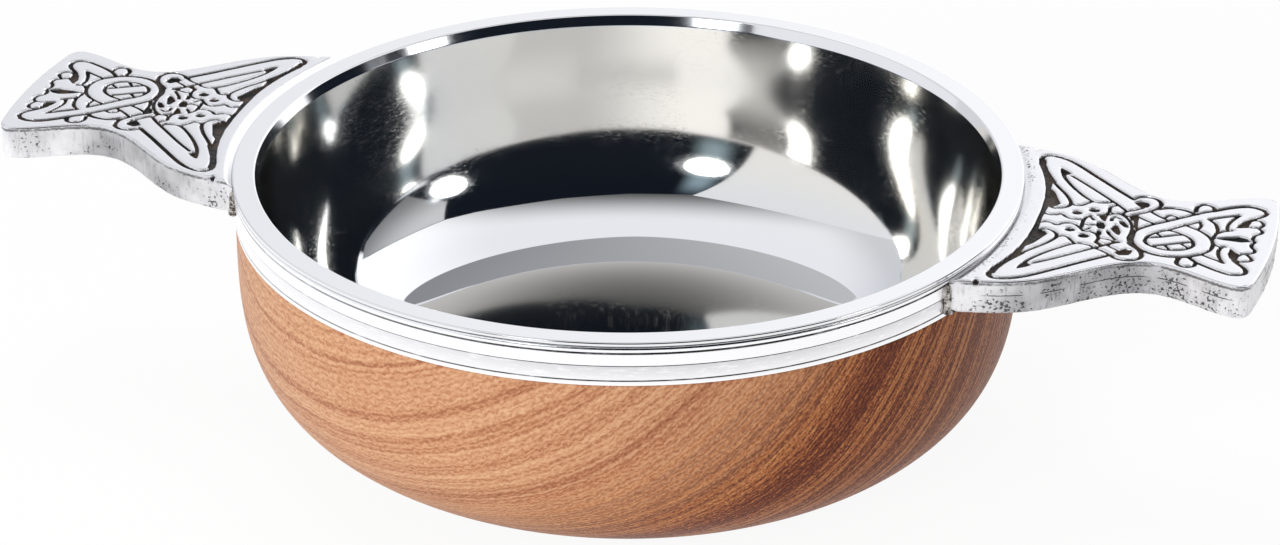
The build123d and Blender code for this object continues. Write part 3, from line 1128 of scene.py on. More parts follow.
@dataclass(frozen=True)
class Interlace:
    """The carving on a lug: two long-necked beasts whose necks and tails are plaited.

    Places are (along, across) in millimetres from the bowl's axis. A line is its
    width and the points that it passes through. A hollow is an outline. Lists
    named mirrored are cut on both sides of the lug's middle. A drilled hole is its
    place and its radius.
    """

    mirrored_lines: tuple = (
        # border groove round the long loop
        (0.6, (71.9, 9.9), (70.5, 11.3), (69, 12.8), (67, 14.9), (65, 17.0), (63.2, 18.9), (61.5, 20.5),
         (60, 21.5), (58.6, 22), (57.5, 21.9), (56.9, 21.2), (56.8, 20.2)),
        # between the long loop and the hooked sliver
        (0.42, (59.8, 12.9), (61.0, 11.0), (62.2, 9.2), (63.2, 7.3), (63.6, 6.0), (63.4, 4.9), (62.6, 4.0),
         (61.6, 3.7), (60.9, 4.1)),
        # inner lines of the long loop
        (0.42, (60.6, 16.6), (61.2, 14.8), (62.2, 12.9), (63.3, 11.2), (64.5, 9.6), (65.6, 8.3),
         (66.5, 7.5)),
        (0.42, (62.0, 15.7), (63.5, 14.3), (65.2, 12.6), (67, 10.7), (68.6, 9.0), (70.1, 7.4), (71.5, 5.7)),
        # haunch: top edge, notch and right edge
        (0.4, (66.5, 7.5), (67.5, 7.3), (68.6, 7.6), (69.3, 8.2)),
        (0.4, (63.6, 6.0), (64.3, 5.5), (65.1, 5.6), (65.6, 6.3), (66.1, 7.0), (66.5, 7.5)),
        (0.38, (70.1, 7.2), (69.2, 6.2), (69.3, 5.2), (69.2, 4.2), (68.7, 3.4), (68.0, 2.9)),
        # loop at the waist, outer edge
        (0.5, (71.9, 9.9), (72.4, 10.6), (73.3, 11.1), (74.5, 11.1), (75.5, 10.5), (76.0, 9.4), (75.9, 8.2),
         (75.4, 7.2), (74.8, 6.5)),
        # small ball beside the ring
        (0.5, (81.1, 8.2), (81.0, 9.6), (81.5, 10.6), (82.4, 10.9), (83.3, 10.4), (83.6, 9.4)),
    )
    mirrored_hollows: tuple = (
        # ground between the border and the long loop
        ((56.5, 20.6), (57.4, 20.5), (57.7, 18.7), (58.4, 16.6), (59.2, 14.9), (60.2, 12.9), (59.7, 12.1),
         (59.9, 10.0), (60.3, 7.5), (60.6, 5.0), (60.5, 2.0), (60.4, 0), (60.0, 0), (60.0, 3), (59.8, 7),
         (59.3, 10.5), (58.6, 13.6), (57.8, 16.2), (56.9, 18.6)),
        ((60.0, 10.2), (60.7, 9.2), (61.5, 7.0), (62.1, 5.4), (61.6, 4.4), (60.9, 4.2), (60.4, 4.6),
         (60.2, 7.0)),
        # point inside the long loop
        ((60.2, 18.0), (60.3, 17.0), (60.9, 15.6), (61.5, 16.0), (61.8, 16.5), (61.1, 17.3)),
        # nick in the edge beside the band
        ((55.2, 23.9), (56.0, 23.8), (55.5, 23.1)),
        # eye of the waist loop
        ((72.3, 8.9), (73.1, 9.6), (74.1, 9.3), (74.4, 8.5), (74.2, 7.7), (73.6, 7.3), (72.9, 8.0)),
    )
    lines: tuple = (
        # upper neck, far edge, from the ring to the head
        (0.5, (73.7, -2.0), (73.9, -0.7), (74.8, 0.7), (76.0, 2.1), (77.6, 3.6), (79.1, 5.1), (80.5, 6.5),
         (82.0, 7.9), (83.4, 9.0)),
        (0.75, (83.4, 9.0), (84.8, 10.2), (86.4, 11.3), (87.8, 11.9), (89.1, 11.9), (90.2, 11.4)),
        (0.5, (90.2, 11.4), (90.8, 10.4), (90.5, 9.3), (89.7, 8.3), (88.9, 7.5), (88.2, 6.4)),
        # upper neck, near edge, from the ring's eye to the jaw
        (0.42, (78.3, 0.8), (79.4, 2.0), (80.5, 3.2), (82.2, 4.9)),
        (0.5, (83.3, 6.0), (85.0, 7.2), (87.2, 8.6)),
        # sliver under the jaw
        (0.4, (87.2, 8.5), (86.5, 6.7), (86.1, 5.0), (86.2, 3.6), (86.4, 2.9)),
        (0.42, (83.3, 6.0), (84.3, 4.9), (84.8, 3.6), (85.0, 2.2), (84.8, 0.8), (84.7, -0.5)),
        (0.38, (85.1, 1.6), (85.7, 2.4), (86.4, 2.8), (87.0, 3.2)),
        # ring, outer edge
        (0.42, (80.3, 3.1), (82.2, 2.0), (83.4, 1.0), (84.4, -0.3), (84.9, -1.7), (85.0, -3.2),
         (84.7, -4.8), (83.7, -6.3)),
        (0.6, (83.7, -6.3), (82.1, -7.5), (80.3, -8.1), (78.6, -8.2), (77.0, -7.8), (75.6, -6.9),
         (74.5, -5.6), (73.8, -4.0), (73.7, -2.0)),
        # ring's eye with the strap through it
        (0.42, (78.3, 0.7), (77.2, -0.2), (76.2, -1.4), (75.7, -2.7), (75.7, -3.8), (76.3, -4.9),
         (77.4, -5.6), (78.8, -6.0), (80.3, -5.8), (81.6, -5.0), (82.3, -3.8), (82.3, -2.6), (81.8, -1.4),
         (80.8, -0.4), (79.6, 0.3), (78.3, 0.7)),
        (0.38, (75.9, -2.8), (77.7, -1.9), (79.5, -0.8), (80.6, -0.3)),
        (0.38, (77.0, -5.3), (79.0, -4.2), (80.7, -3.2), (82.2, -2.4)),
        (0.36, (76.9, -0.8), (77.8, -1.8)),
        (0.36, (78.6, -4.5), (79.5, -5.8)),
        (0.36, (80.6, -3.3), (81.8, -4.4)),
        # cells above the neck
        (0.6, (75.9, 7.5), (77.2, 8.2), (78.6, 8.3), (80.0, 8.0), (81.3, 7.2)),
        (0.4, (74.8, 6.5), (76.2, 5.2), (77.6, 4.2), (78.3, 4.2)),
        (0.36, (77.2, 4.8), (77.5, 5.5), (78.2, 5.8), (79.0, 5.4)),
        (0.4, (73.5, 4.1), (74.8, 3.1), (76.3, 2.3)),
        (0.4, (73.4, 4.2), (73.5, 2.4), (73.7, 0.9), (74.1, -0.3)),
        (0.4, (74.9, 6.5), (73.9, 5.4), (72.6, 4.3)),
        # cell inside the crossing of the ring
        (0.36, (82.1, 4.8), (82.5, 3.8), (82.4, 2.8), (82.2, 2.0)),
        # strap from the waist to the knot
        (0.4, (73.6, 7.2), (72.6, 6.1), (71.6, 5.3), (71.2, 4.5)),
        (0.36, (69.4, 4.6), (70.3, 4.3), (71.2, 4.4), (72.0, 3.8)),
        # lower neck and head
        (0.55, (82.4, -7.6), (83.6, -8.9), (85.2, -10.0), (86.8, -10.9), (88.4, -11.6), (89.7, -11.5),
         (90.5, -10.8), (90.6, -9.7), (90.1, -8.7), (89.3, -7.8), (88.6, -6.9)),
        (0.42, (84.0, -6.2), (85.2, -6.9), (86.3, -7.5), (87.2, -8.1)),
        (0.4, (87.2, -8.0), (86.5, -6.4), (86.1, -4.8), (86.1, -3.6), (86.4, -2.7)),
        (0.4, (85.0, -1.9), (85.5, -2.6), (86.2, -2.8), (86.8, -2.6)),
        # beside the lower haunch
        (0.42, (69.3, -8.2), (70.6, -8.9), (71.7, -9.8)),
        (0.38, (71.0, -6.9), (71.9, -7.6), (72.9, -8.3), (73.6, -8.7)),
        (0.38, (69.4, -4.7), (70.5, -4.8), (71.6, -5.2), (72.3, -5.2)),
        (0.38, (69.3, -6.2), (70.6, -6.8), (71.5, -6.0), (72.4, -5.3)),
        (0.4, (74.8, -6.6), (74.1, -5.9), (73.6, -5.0)),
        # strand down the middle
        (0.4, (60.4, 1.7), (61.2, 1.3), (62.2, 1.4), (63.0, 1.9), (63.7, 1.2), (64.6, 0.7), (65.6, 0.7),
         (66.3, 0.9)),
        (0.4, (60.4, -1.8), (61.4, -1.3), (62.2, -1.5), (62.9, -2.0), (63.6, -1.3), (64.5, -0.9),
         (65.4, -1.1), (66.2, -1.9), (66.9, -2.9)),
        (0.4, (67.0, 2.6), (66.5, 1.8), (66.3, 0.9), (66.3, -0.2), (66.4, -1.6)),
        (0.36, (66.9, 2.3), (67.4, 1.7), (67.7, 1.2)),
        (0.36, (66.6, -0.5), (67.4, -0.7), (68.2, -0.5)),
        (0.36, (67.2, -2.3), (67.6, -1.6)),
        (0.36, (66.9, -3.0), (67.9, -3.0), (68.8, -3.5), (69.2, -4.2), (69.3, -5.2), (69.2, -6.2)),
        # knot beside the ring
        (0.36, (69.3, 3.4), (69.9, 4.0), (70.8, 4.2), (71.6, 3.7), (72.4, 2.7), (73.0, 1.4), (73.3, 0),
         (73.4, -1.6), (73.3, -3.2), (73.7, -4.7)),
        (0.36, (70.1, 1.6), (70.1, 2.6), (70.6, 3.0), (71.3, 2.6)),
        (0.36, (70.2, -2.0), (70.6, -3.0), (71.2, -3.9), (71.7, -4.6)),
        # tip of the field, past the two heads
        (0.4, (88.9, 7.0), (89.5, 7.5), (90.4, 7.4), (90.9, 6.5), (90.7, 5.6), (90.3, 5.0), (89.3, 4.9)),
        (0.4, (90.3, 5.0), (91.0, 4.2), (90.9, 3.2), (90.2, 2.2), (90.1, 1.1), (90.5, 0.2), (90.2, -0.8),
         (90.4, -1.8), (90.9, -2.7), (90.7, -3.6), (89.9, -4.2), (89.1, -4.6)),
        (0.4, (88.9, -6.6), (89.5, -7.0), (90.4, -6.7), (90.9, -5.9), (90.5, -5.0), (90.0, -4.4)),
    )
    hollows: tuple = (
        ((68.2, 2.9), (69.2, 3.2), (69.2, 1.2), (68.8, 1.7)),
        ((68.3, 0.6), (69.0, 0.8), (69.5, -0.3), (69.4, -1.5), (68.9, -1.5), (68.4, -0.6)),
        ((68.8, -2.2), (69.2, -2.1), (69.4, -3.6), (68.8, -3.2)),
        ((71.3, 1.7), (71.8, 1.9), (72.5, 0.8), (72.7, -0.1), (72.3, 0.0), (71.6, 0.9)),
        ((70.9, 0.4), (71.2, 0.2), (71.9, -1.9), (71.8, -2.9), (71.2, -2.2), (70.5, -1.0)),
        ((72.3, 4.1), (73.4, 4.7), (73.5, 2.4), (72.9, 2.6)),
        ((73.0, -8.2), (73.8, -7.5), (74.5, -7.5), (74.3, -8.6), (73.4, -8.8)),
        # between the two heads, and their mouths
        ((85.0, -0.2), (86.4, 0.6), (88.2, 1.3), (89.3, 1.0), (90.0, 0.1), (88.6, -0.5), (86.2, -0.4)),
        ((87.4, 4.2), (88.8, 4.7), (88.9, 6.0), (89.1, 7.4), (88.2, 6.6), (87.6, 5.3)),
        ((87.6, -3.1), (88.4, -4.1), (89.3, -4.7), (88.9, -5.4), (88.7, -7.2), (88.0, -6.2), (87.5, -4.6)),
        ((73.2, -2.4), (73.8, -3.5), (74.0, -5.2), (73.4, -4.4)),
    )
    hollow_spread: float = 0.04
    drilled: tuple = ((65.0, 3.0, 0.65), (67.2, 4.5, 0.7), (65.0, -3.0, 0.65), (67.2, -4.6, 0.7))

    def edge_distance(self, places: Array) -> Array:
        """Returns the distance from each place to the nearest cut's edge, below zero inside a cut.

        Args:
            places: an array of (along, across) pairs.

        Returns:
            Distances in millimetres, at most two.
        """
        farthest = 2.0
        found = np.full(len(places), farthest)
        flip = np.array([1.0, -1.0])
        cuts = [(width, curve_through(points)) for width, *points in self.lines + self.mirrored_lines]
        cuts += [(width, curve_through(points) * flip) for width, *points in self.mirrored_lines]
        for width, path in cuts:
            near = close_to(places, path, width / 2 + farthest)
            found[near] = np.minimum(found[near], to_path(places[near], path) - width / 2)
        outlines = [np.array(hollow) for hollow in self.hollows + self.mirrored_hollows]
        outlines += [np.array(hollow) * flip for hollow in self.mirrored_hollows]
        for ring in outlines:
            near = close_to(places, ring, farthest)
            away = to_path(places[near], np.concatenate([ring, ring[:1]]))
            away = np.where(within(places[near], ring), -away, away) - self.hollow_spread
            found[near] = np.minimum(found[near], away)
        for along, across, radius in self.drilled:
            found = np.minimum(found, np.linalg.norm(places - (along, across), axis=1) - radius)
        return found


@dataclass
class CastLug:
    """A flat cast lug: waisted, carved on top, rough at the sides, hollowed at its root to fit the band."""

    rim: Rim
    side: Side
    rise: float
    carving_shift: Pair
    carving_share: float
    carving: Interlace = field(default_factory=Interlace)
    length: float = 36.3
    gauge: float = 5.25
    root_half_width: float = 23.15
    tip_half_width: float = 14.65
    tip_crown: float = 1.3
    tip_round: float = 2.0
    under_round: float = 0.9
    top_round: float = 0.3
    root_ramp: float = 1.2
    seat_gap: float = 0.03
    cut_depth: float = 0.62
    cut_start: float = 0.35
    cut_slope: float = 0.2
    pillow: float = 0.07
    pillow_reach: float = 0.3
    cut_spread: float = 0.06
    patina_start: float = 0.62
    patina_slope: float = 0.16
    nominal_length: float = 40.0
    corner_fade: float = 0.8
    edge_fade: float = 1.2
    parting_share: float = 0.52
    parting_width: float = 0.25
    parting_rise: float = 0.05
    wall_back: float = 0.105
    wall_shares: tuple = (0.16, 0.28, 0.40, 0.52, 0.64, 0.78, 0.91)
    outline_shares: tuple = (
        (0.155, 0.948), (0.305, 0.836), (0.455, 0.62), (0.575, 0.478), (0.655, 0.449), (0.785, 0.514),
    )
    rows: int = 262
    columns: int = 291

    @property
    def top(self) -> float:
        """Height of the lug's flat top."""
        return self.rim.height + self.rise

    @property
    def bottom(self) -> float:
        """Height of the lug's underside."""
        return self.top - self.gauge

    @property
    def seat(self) -> float:
        """Radius of the hollowed root."""
        return self.rim.radius + self.seat_gap

    def root_and_corner(self) -> Pair:
        """Returns how far along the root's corners and the tip's corners lie."""
        return sqrt(self.seat**2 - self.root_half_width**2), self.rim.radius + self.length - self.tip_crown

    def half_width(self, along: Array) -> Array:
        """Returns the half width at each place along, on the cubic curve through the outline's points.

        Args:
            along: distances from the bowl's axis.

        Returns:
            The half widths.
        """
        root, corner = self.root_and_corner()
        tip = (1.0, self.tip_half_width / self.root_half_width)
        shares = np.array(((0.0, 1.0), *self.outline_shares, tip))
        knots, widths = root + shares[:, 0] * (corner - root), shares[:, 1] * self.root_half_width
        step, rate = np.diff(knots), np.diff(widths) / np.diff(knots)
        # second slopes by the three-term equations, with one cubic for the two spans at either end
        size = len(knots)
        system = np.zeros((size, size))
        system[0, :3] = step[1], -(step[0] + step[1]), step[0]
        system[-1, -3:] = step[-1], -(step[-2] + step[-1]), step[-2]
        inner = np.arange(1, size - 1)
        system[inner, inner - 1], system[inner, inner + 1] = step[:-1], step[1:]
        system[inner, inner] = 2 * (step[:-1] + step[1:])
        bend = np.linalg.solve(system, np.concatenate([[0.0], 6 * np.diff(rate), [0.0]]))
        span = np.clip(np.searchsorted(knots, along) - 1, 0, size - 2)
        left, right, width = along - knots[span], knots[span + 1] - along, step[span]
        return (
            (bend[span] * right**3 + bend[span + 1] * left**3) / (6 * width)
            + (widths[span] / width - bend[span] * width / 6) * right
            + (widths[span + 1] / width - bend[span + 1] * width / 6) * left
        )

    def plan(self, down: Array, over: Array) -> Array:
        """Returns (along, across) for shares down the lug (0 root, 1 tip) and over it (-1 to 1).

        Along runs straight from root corner to tip corner, plus the root's arc faded
        out and the tip's arc faded in. Across is over times the half width. Near the
        tip's corners a square is first pressed into a quarter disc, which rounds them.

        Args:
            down: shares down the lug.
            over: shares over it.

        Returns:
            An array of shape (n, 2).
        """
        root, corner = self.root_and_corner()
        span, limit = corner - root, self.tip_round
        from_tip, from_side = (1 - down) * span, (1 - np.abs(over)) * self.tip_half_width
        p, q = (1 - np.clip(x / limit, 0.0, 1.0) for x in (from_tip, from_side))
        from_tip = np.where(from_tip < limit, limit * (1 - p * np.sqrt(1 - q * q / 2)), from_tip)
        from_side = np.where(from_side < limit, limit * (1 - q * np.sqrt(1 - p * p / 2)), from_side)
        down, over = 1 - from_tip / span, np.sign(over) * (1 - from_side / self.tip_half_width)
        root_arc = np.sqrt(self.seat**2 - (self.root_half_width * over) ** 2) - root
        tip_arc = self.tip_crown * (1 - over**2)
        along = root + down * span
        across = over * self.half_width(along)
        return np.stack([along + (1 - down) ** 2 * root_arc + down**2 * tip_arc, across], -1)

    def rings(self) -> Points:
        """Returns how far each ring of the sides lies inside the outline and below the top.

        Returns:
            A (back, drop) pair for each ring.
        """
        lower, over, under = self.gauge - self.under_round, self.top_round, self.under_round
        found = [(over * (1 - sin(a)), over * (1 - cos(a))) for a in np.linspace(0.0, pi / 2, 5)[1:]]
        found += [(0.0, share * lower) for share in self.wall_shares]
        found += [(under * (1 - cos(a)), lower + under * sin(a)) for a in np.linspace(0.0, pi / 2, 6)[1:]]
        return found + [(under + 0.4, self.gauge)]

    def carved(self, plan: Array) -> tuple[Array, Array]:
        """Returns the height and the patina of the top at places in plan.

        The height is the flat top, less a ramp down to the lip beside the band, less
        the cuts: the depth times a smooth step of how far a place lies inside a cut,
        and a slight fall of each strand towards its edges. Waves roughen it a little.

        Args:
            plan: an array of (along, across) places.

        Returns:
            The heights, and the patina from 0 to 1.
        """
        edge = self.carving.edge_distance((plan - self.carving_shift) / (1.0, self.carving_share))
        edge = edge - self.cut_spread
        from_band = np.linalg.norm(plan, axis=1) - self.seat
        ramp = smooth(from_band / self.root_ramp)
        fade = smooth((from_band - self.edge_fade) / self.corner_fade)
        root_height = min(self.rim.shoulder, self.top - 0.2)
        cut = smooth(self.cut_start - edge / self.cut_slope)
        relief = self.cut_depth * cut + self.pillow * np.exp(-np.clip(edge, 0, None) / self.pillow_reach)
        level = np.column_stack([plan, np.zeros(len(plan))])
        grain, floor_grain = waves(level, 2.5, 5) * 0.012, waves(level, 0.7, 6) * 0.06
        height = root_height + (self.top - root_height) * ramp - fade * relief
        height = height + grain * ramp + floor_grain * cut * fade
        return np.minimum(height, self.top), smooth(self.patina_start - edge / self.patina_slope) * fade

    def drawn_in(self, flat: Array, down: Array, over: Array) -> Array:
        """Returns the plan drawn in a little towards its edges, which leaves room for their rounding.

        Args:
            flat: the plan.
            down: its shares down the lug.
            over: its shares over it.

        Returns:
            The plan drawn in.
        """
        widest = np.abs(flat[:, 1]).max()
        border = 1.0 - smooth((1.0 - np.abs(over)) * widest / self.edge_fade)
        past_root = smooth(down * self.nominal_length / self.corner_fade)
        at_tip = smooth((down - 1.0) * self.nominal_length / self.edge_fade + 1.0)
        inwards = np.sign(over) * -self.top_round * border * past_root
        return flat + np.column_stack([-self.top_round * at_tip, inwards])

    def build(self) -> bpy.types.Object:
        """Makes the lug as one closed surface: carved top, rounded edges, rough sides and underside.

        The top is a grid over the plan. Rings of its outline carry the sides down,
        moved in or out by their place in the section, waves for the rough casting
        and a low ridge at the parting line.

        Returns:
            The object.
        """
        grid = np.linspace(0.0, 1.0, self.rows), np.linspace(-1.0, 1.0, self.columns)
        down, over = (part.ravel() for part in np.meshgrid(*grid, indexing="ij"))
        flat = self.plan(down, over)
        index = np.arange(len(flat)).reshape(self.rows, self.columns)
        loop = np.concatenate([index[0, :-1], index[:-1, -1], index[-1, :0:-1], index[:0:-1, 0]])
        outline = flat[loop]
        tangent = np.roll(outline, -1, axis=0) - np.roll(outline, 1, axis=0)
        tangent /= np.maximum(np.linalg.norm(tangent, axis=1)[:, None], 1e-9)
        outward = np.stack([-tangent[:, 1], tangent[:, 0]], -1)
        at_root = np.arange(len(loop)) < self.columns - 1
        held = smooth((np.linalg.norm(outline, axis=1) - self.seat) / self.corner_fade)
        held = np.where(at_root, 0.0, held)
        top_plan = self.drawn_in(flat, down, over)
        top_plan[loop] = outline - outward * (held * self.top_round)[:, None]
        height, patina = self.carved(top_plan)

        # a wall's rows are rough between the top edge's round and the last rows of the lower round
        wall_top, rings = height[loop], self.rings()
        parting = self.parting_share * (self.gauge - self.under_round)
        layers, casts, depths = [], [], []
        for level, (back, drop) in enumerate(rings):
            root_lift = wall_top + drop / self.gauge * (self.bottom - wall_top)
            lift = np.where(at_root, root_lift, self.top - drop)
            lift = np.maximum(np.minimum(lift, wall_top - 0.02 * (level + 1)), self.bottom)
            plan = outline - outward * (back * held)[:, None]
            if 4 <= level < len(rings) - 2:
                place = np.column_stack([plan, lift])
                rough = waves(place, 1.6, 11) * 0.035 + waves(place, 0.55, 12) * 0.02
                ridge = self.parting_rise * np.exp(-(((drop - parting) / self.parting_width) ** 2))
                plan = plan + outward * ((rough - self.wall_back + ridge) * held)[:, None]
            layers.append(np.column_stack([plan, lift]))
            casts.append(np.full(len(loop), smooth(np.array((level - 1) / 3.0))))
            depths.append(np.full(len(loop), drop))
        count = len(flat)
        numbers = [loop] + [count + i * len(loop) + np.arange(len(loop)) for i in range(len(rings))]
        faces = grid_faces(self.rows, self.columns)[:, ::-1].tolist()
        for upper, under in zip(numbers, numbers[1:]):
            faces += np.stack([upper, np.roll(upper, -1), np.roll(under, -1), under], -1).tolist()
        faces.append(numbers[-1].tolist())
        values = {
            "patina": np.concatenate([patina, np.zeros(len(loop) * len(rings))]),
            "cast": np.concatenate([np.zeros(count), *casts]),
            "depth": np.concatenate([np.zeros(count), *depths]),
        }
        points = np.concatenate([np.column_stack([top_plan, height]), *layers])
        word = self.side.word
        surface = Surface(self.side.turned(points), faces, values)
        return surface.piece(f"{word}_carved_lug", CastPewter(), "cast_lug", f"{word}_lug")


@dataclass
class SolderSeam:
    """Soft solder run in under a lug's root and up past its two corners."""

    rim: Rim
    lug: CastLug
    radius: float = 0.72
    swelling: float = 0.22
    beyond: float = 0.25
    corner_round: float = 0.9
    below_lip: float = 0.35
    lift_share: float = 0.9
    sink: float = 0.25
    end_power: int = 40
    along_points: int = 420
    around_points: int = 20

    def build(self) -> bpy.types.Object:
        """Makes the seam as a lumpy tube.

        The tube's middle line runs on the band's face: down beside one corner of the
        root, round under it, and up beside the other. Its radius swells and shrinks
        by random waves, and closes to nothing at both ends. Its inner side sinks into
        the band by no more than sink.

        Returns:
            The object.
        """
        lug, rim = self.lug, self.rim
        half = asin(lug.root_half_width / lug.seat) * lug.seat + self.beyond
        top = min(rim.lip_underside, lug.top - 0.2) - self.below_lip
        corners = ((-half, top), (-half, lug.bottom), (half, lug.bottom), (half, top))
        path = evened(rounded(corners, self.corner_round, 8), self.along_points)
        tangent = np.gradient(path, axis=0)
        tangent /= np.linalg.norm(tangent, axis=1)[:, None]
        across = np.stack([-tangent[:, 1], tangent[:, 0]], -1)
        turn = np.linspace(0.0, 2.0 * pi, self.around_points, endpoint=False)
        share = np.linspace(0.0, 1.0, self.along_points)
        closing = np.sqrt(np.clip(1 - (2 * share - 1) ** self.end_power, 0.0, 1.0))
        around = path[:, 0] / lug.seat
        line = np.column_stack([lug.seat * np.cos(around), lug.seat * np.sin(around), path[:, 1]])
        wide = (self.radius * (1 + self.swelling * waves(line, 2.2, 21)) * closing)[:, None]
        offset = wide * np.cos(turn)
        lift = np.clip(wide * np.sin(turn) * self.lift_share, -self.sink, None)
        sweep = (path[:, :1] + across[:, :1] * offset) / lug.seat
        height = path[:, 1:] + across[:, 1:] * offset
        reach = lug.seat + lift
        points = np.stack([reach * np.cos(sweep), reach * np.sin(sweep), height], -1).reshape(-1, 3)
        lumps = waves(points, 0.8, 22) * 0.06 + waves(points, 0.35, 23) * 0.03
        away = points * (1.0, 1.0, 0.0)
        points += away / np.linalg.norm(away, axis=1)[:, None] * lumps[:, None]
        points[:, 2] = np.clip(points[:, 2], lug.bottom + 0.2, rim.lip_underside)
        faces = grid_faces(self.along_points, self.around_points, ring_columns=True).tolist()
        faces += [list(range(self.around_points))[::-1]]
        faces += [list(range(len(points) - self.around_points, len(points)))]
        word = lug.side.word
        surface = Surface(lug.side.turned(points), faces)
        return surface.piece(f"{word}_solder", DullSolder(), "solder", f"{word}_solder_seam")


# ----------------------------------------------------------------------- studio


class Sky:
    """The direction of a ray in the studio, as shader terms: x right, y away from the camera, z up."""

    def __init__(self, graph: Graph) -> None:
        """Measures the ray's direction in the view's axes and its elevation in degrees.

        Args:
            graph: writes the nodes.
        """
        way = graph.node("ShaderNodeTexCoord", {}, {}, "Object")
        self.graph = graph
        self.x, self.y, self.z = graph.dot(way, VIEW_RIGHT), graph.dot(way, VIEW_AWAY), graph.split(way)[2]
        self.elevation = graph.maths("ARCSINE", self.z) * degrees(1.0)

    def along(self, axis: Sequence[float]) -> Term:
        """Returns how far the direction points along an axis."""
        return self.x * axis[0] + self.y * axis[1] + self.z * axis[2]


@dataclass(frozen=True)
class Panel:
    """A light or dark area of the studio, as the metal mirrors it.

    Angles are in degrees: azimuth from the direction away from the camera,
    positive to the right, and elevation above the table.
    """

    azimuth: float
    half_width: float
    low: float
    high: float
    shade: Colour = (1.0, 1.0, 1.0)
    side_soft: float = 2.0
    low_soft: float = 2.0
    high_soft: float = 2.0

    def mask(self, sky: Sky) -> Term:
        """Returns a share that is 1 inside the panel.

        Args:
            sky: the ray's direction.

        Returns:
            The share.
        """
        graph = sky.graph
        c, s = cos(radians(self.azimuth)), sin(radians(self.azimuth))
        offset = graph.maths("ARCTAN2", sky.x * c - sky.y * s, sky.x * s + sky.y * c) * degrees(1.0)
        side, low, high = self.side_soft, self.low_soft, self.high_soft
        mask = graph.near(offset, 0.0, self.half_width + side, self.half_width - side)
        mask = mask * graph.step(sky.elevation, self.low - low, self.low + low)
        return mask * graph.step(sky.elevation, self.high + high, self.high - high)


@dataclass(frozen=True)
class Outline:
    """A straight-edged area of the studio, given by corners as (azimuth, elevation) in degrees.

    Each pair of corners in turn makes an edge, a flat cut through the middle of the
    bowl, and the area is what lies on the same side of every edge as the point inside.
    """

    corners: Points
    inside: Pair
    soft: float = 0.12

    def mask(self, sky: Sky) -> Term:
        """Returns a share that is 1 inside every edge.

        Args:
            sky: the ray's direction.

        Returns:
            The share.
        """
        near, *ways = (direction(*corner) for corner in (self.inside, *self.corners))
        whole, soft = 1.0, radians(self.soft)
        for first, second in zip(ways, ways[1:]):
            across = first.cross(second).normalized()
            across = across if across.dot(near) > 0 else -across
            whole = sky.graph.step(sky.along(across), -soft, soft) * whole
        return whole


@dataclass(frozen=True)
class Spot:
    """A round lamp of the studio: its middle, its radius and halo in degrees, and its brightness."""

    azimuth: float
    elevation: float
    radius: float
    halo: float
    strength: float
    glow: Colour = (0.70, 0.78, 0.84)

    def shine(self, sky: Sky, behind: Term) -> Term:
        """Returns the light with the spot in front of what is behind it.

        Args:
            sky: the ray's direction.
            behind: the light behind the spot.

        Returns:
            The light.
        """
        graph = sky.graph
        near = sky.along(direction(self.azimuth, self.elevation))
        angle = graph.maths("ARCCOSINE", graph.maths("MINIMUM", near, 1.0)) * degrees(1.0)
        halo = graph.step(angle, self.halo, self.radius * 0.6) * 0.8
        core = graph.step(angle, self.radius + 0.5, self.radius - 0.5)
        return graph.blend(core, graph.blend(halo, behind, self.glow), (self.strength,) * 3)


@dataclass(frozen=True)
class Lamp:
    """A soft square lamp that mirrors don't see: its name, place, size, power and distance."""

    name: str
    azimuth: float
    elevation: float
    size: float
    watts: float
    distance: float = 1500.0
    aim_height: float = 20.0

    def hang(self) -> None:
        """Hangs the lamp, aimed at the bowl."""
        data = bpy.data.lights.new(self.name, "AREA")
        data.size, data.energy = self.size * MM, self.watts
        made = added(self.name, data)
        view = direction(self.azimuth, self.elevation)
        place = Matrix.Rotation(VIEW_TURN, 3, "Z") @ view * self.distance * MM
        made.location = place + Vector((0.0, 0.0, self.aim_height * MM))
        made.rotation_mode = "QUATERNION"
        made.rotation_quaternion = place.to_track_quat("Z", "Y")
        made.visible_glossy = made.visible_camera = False


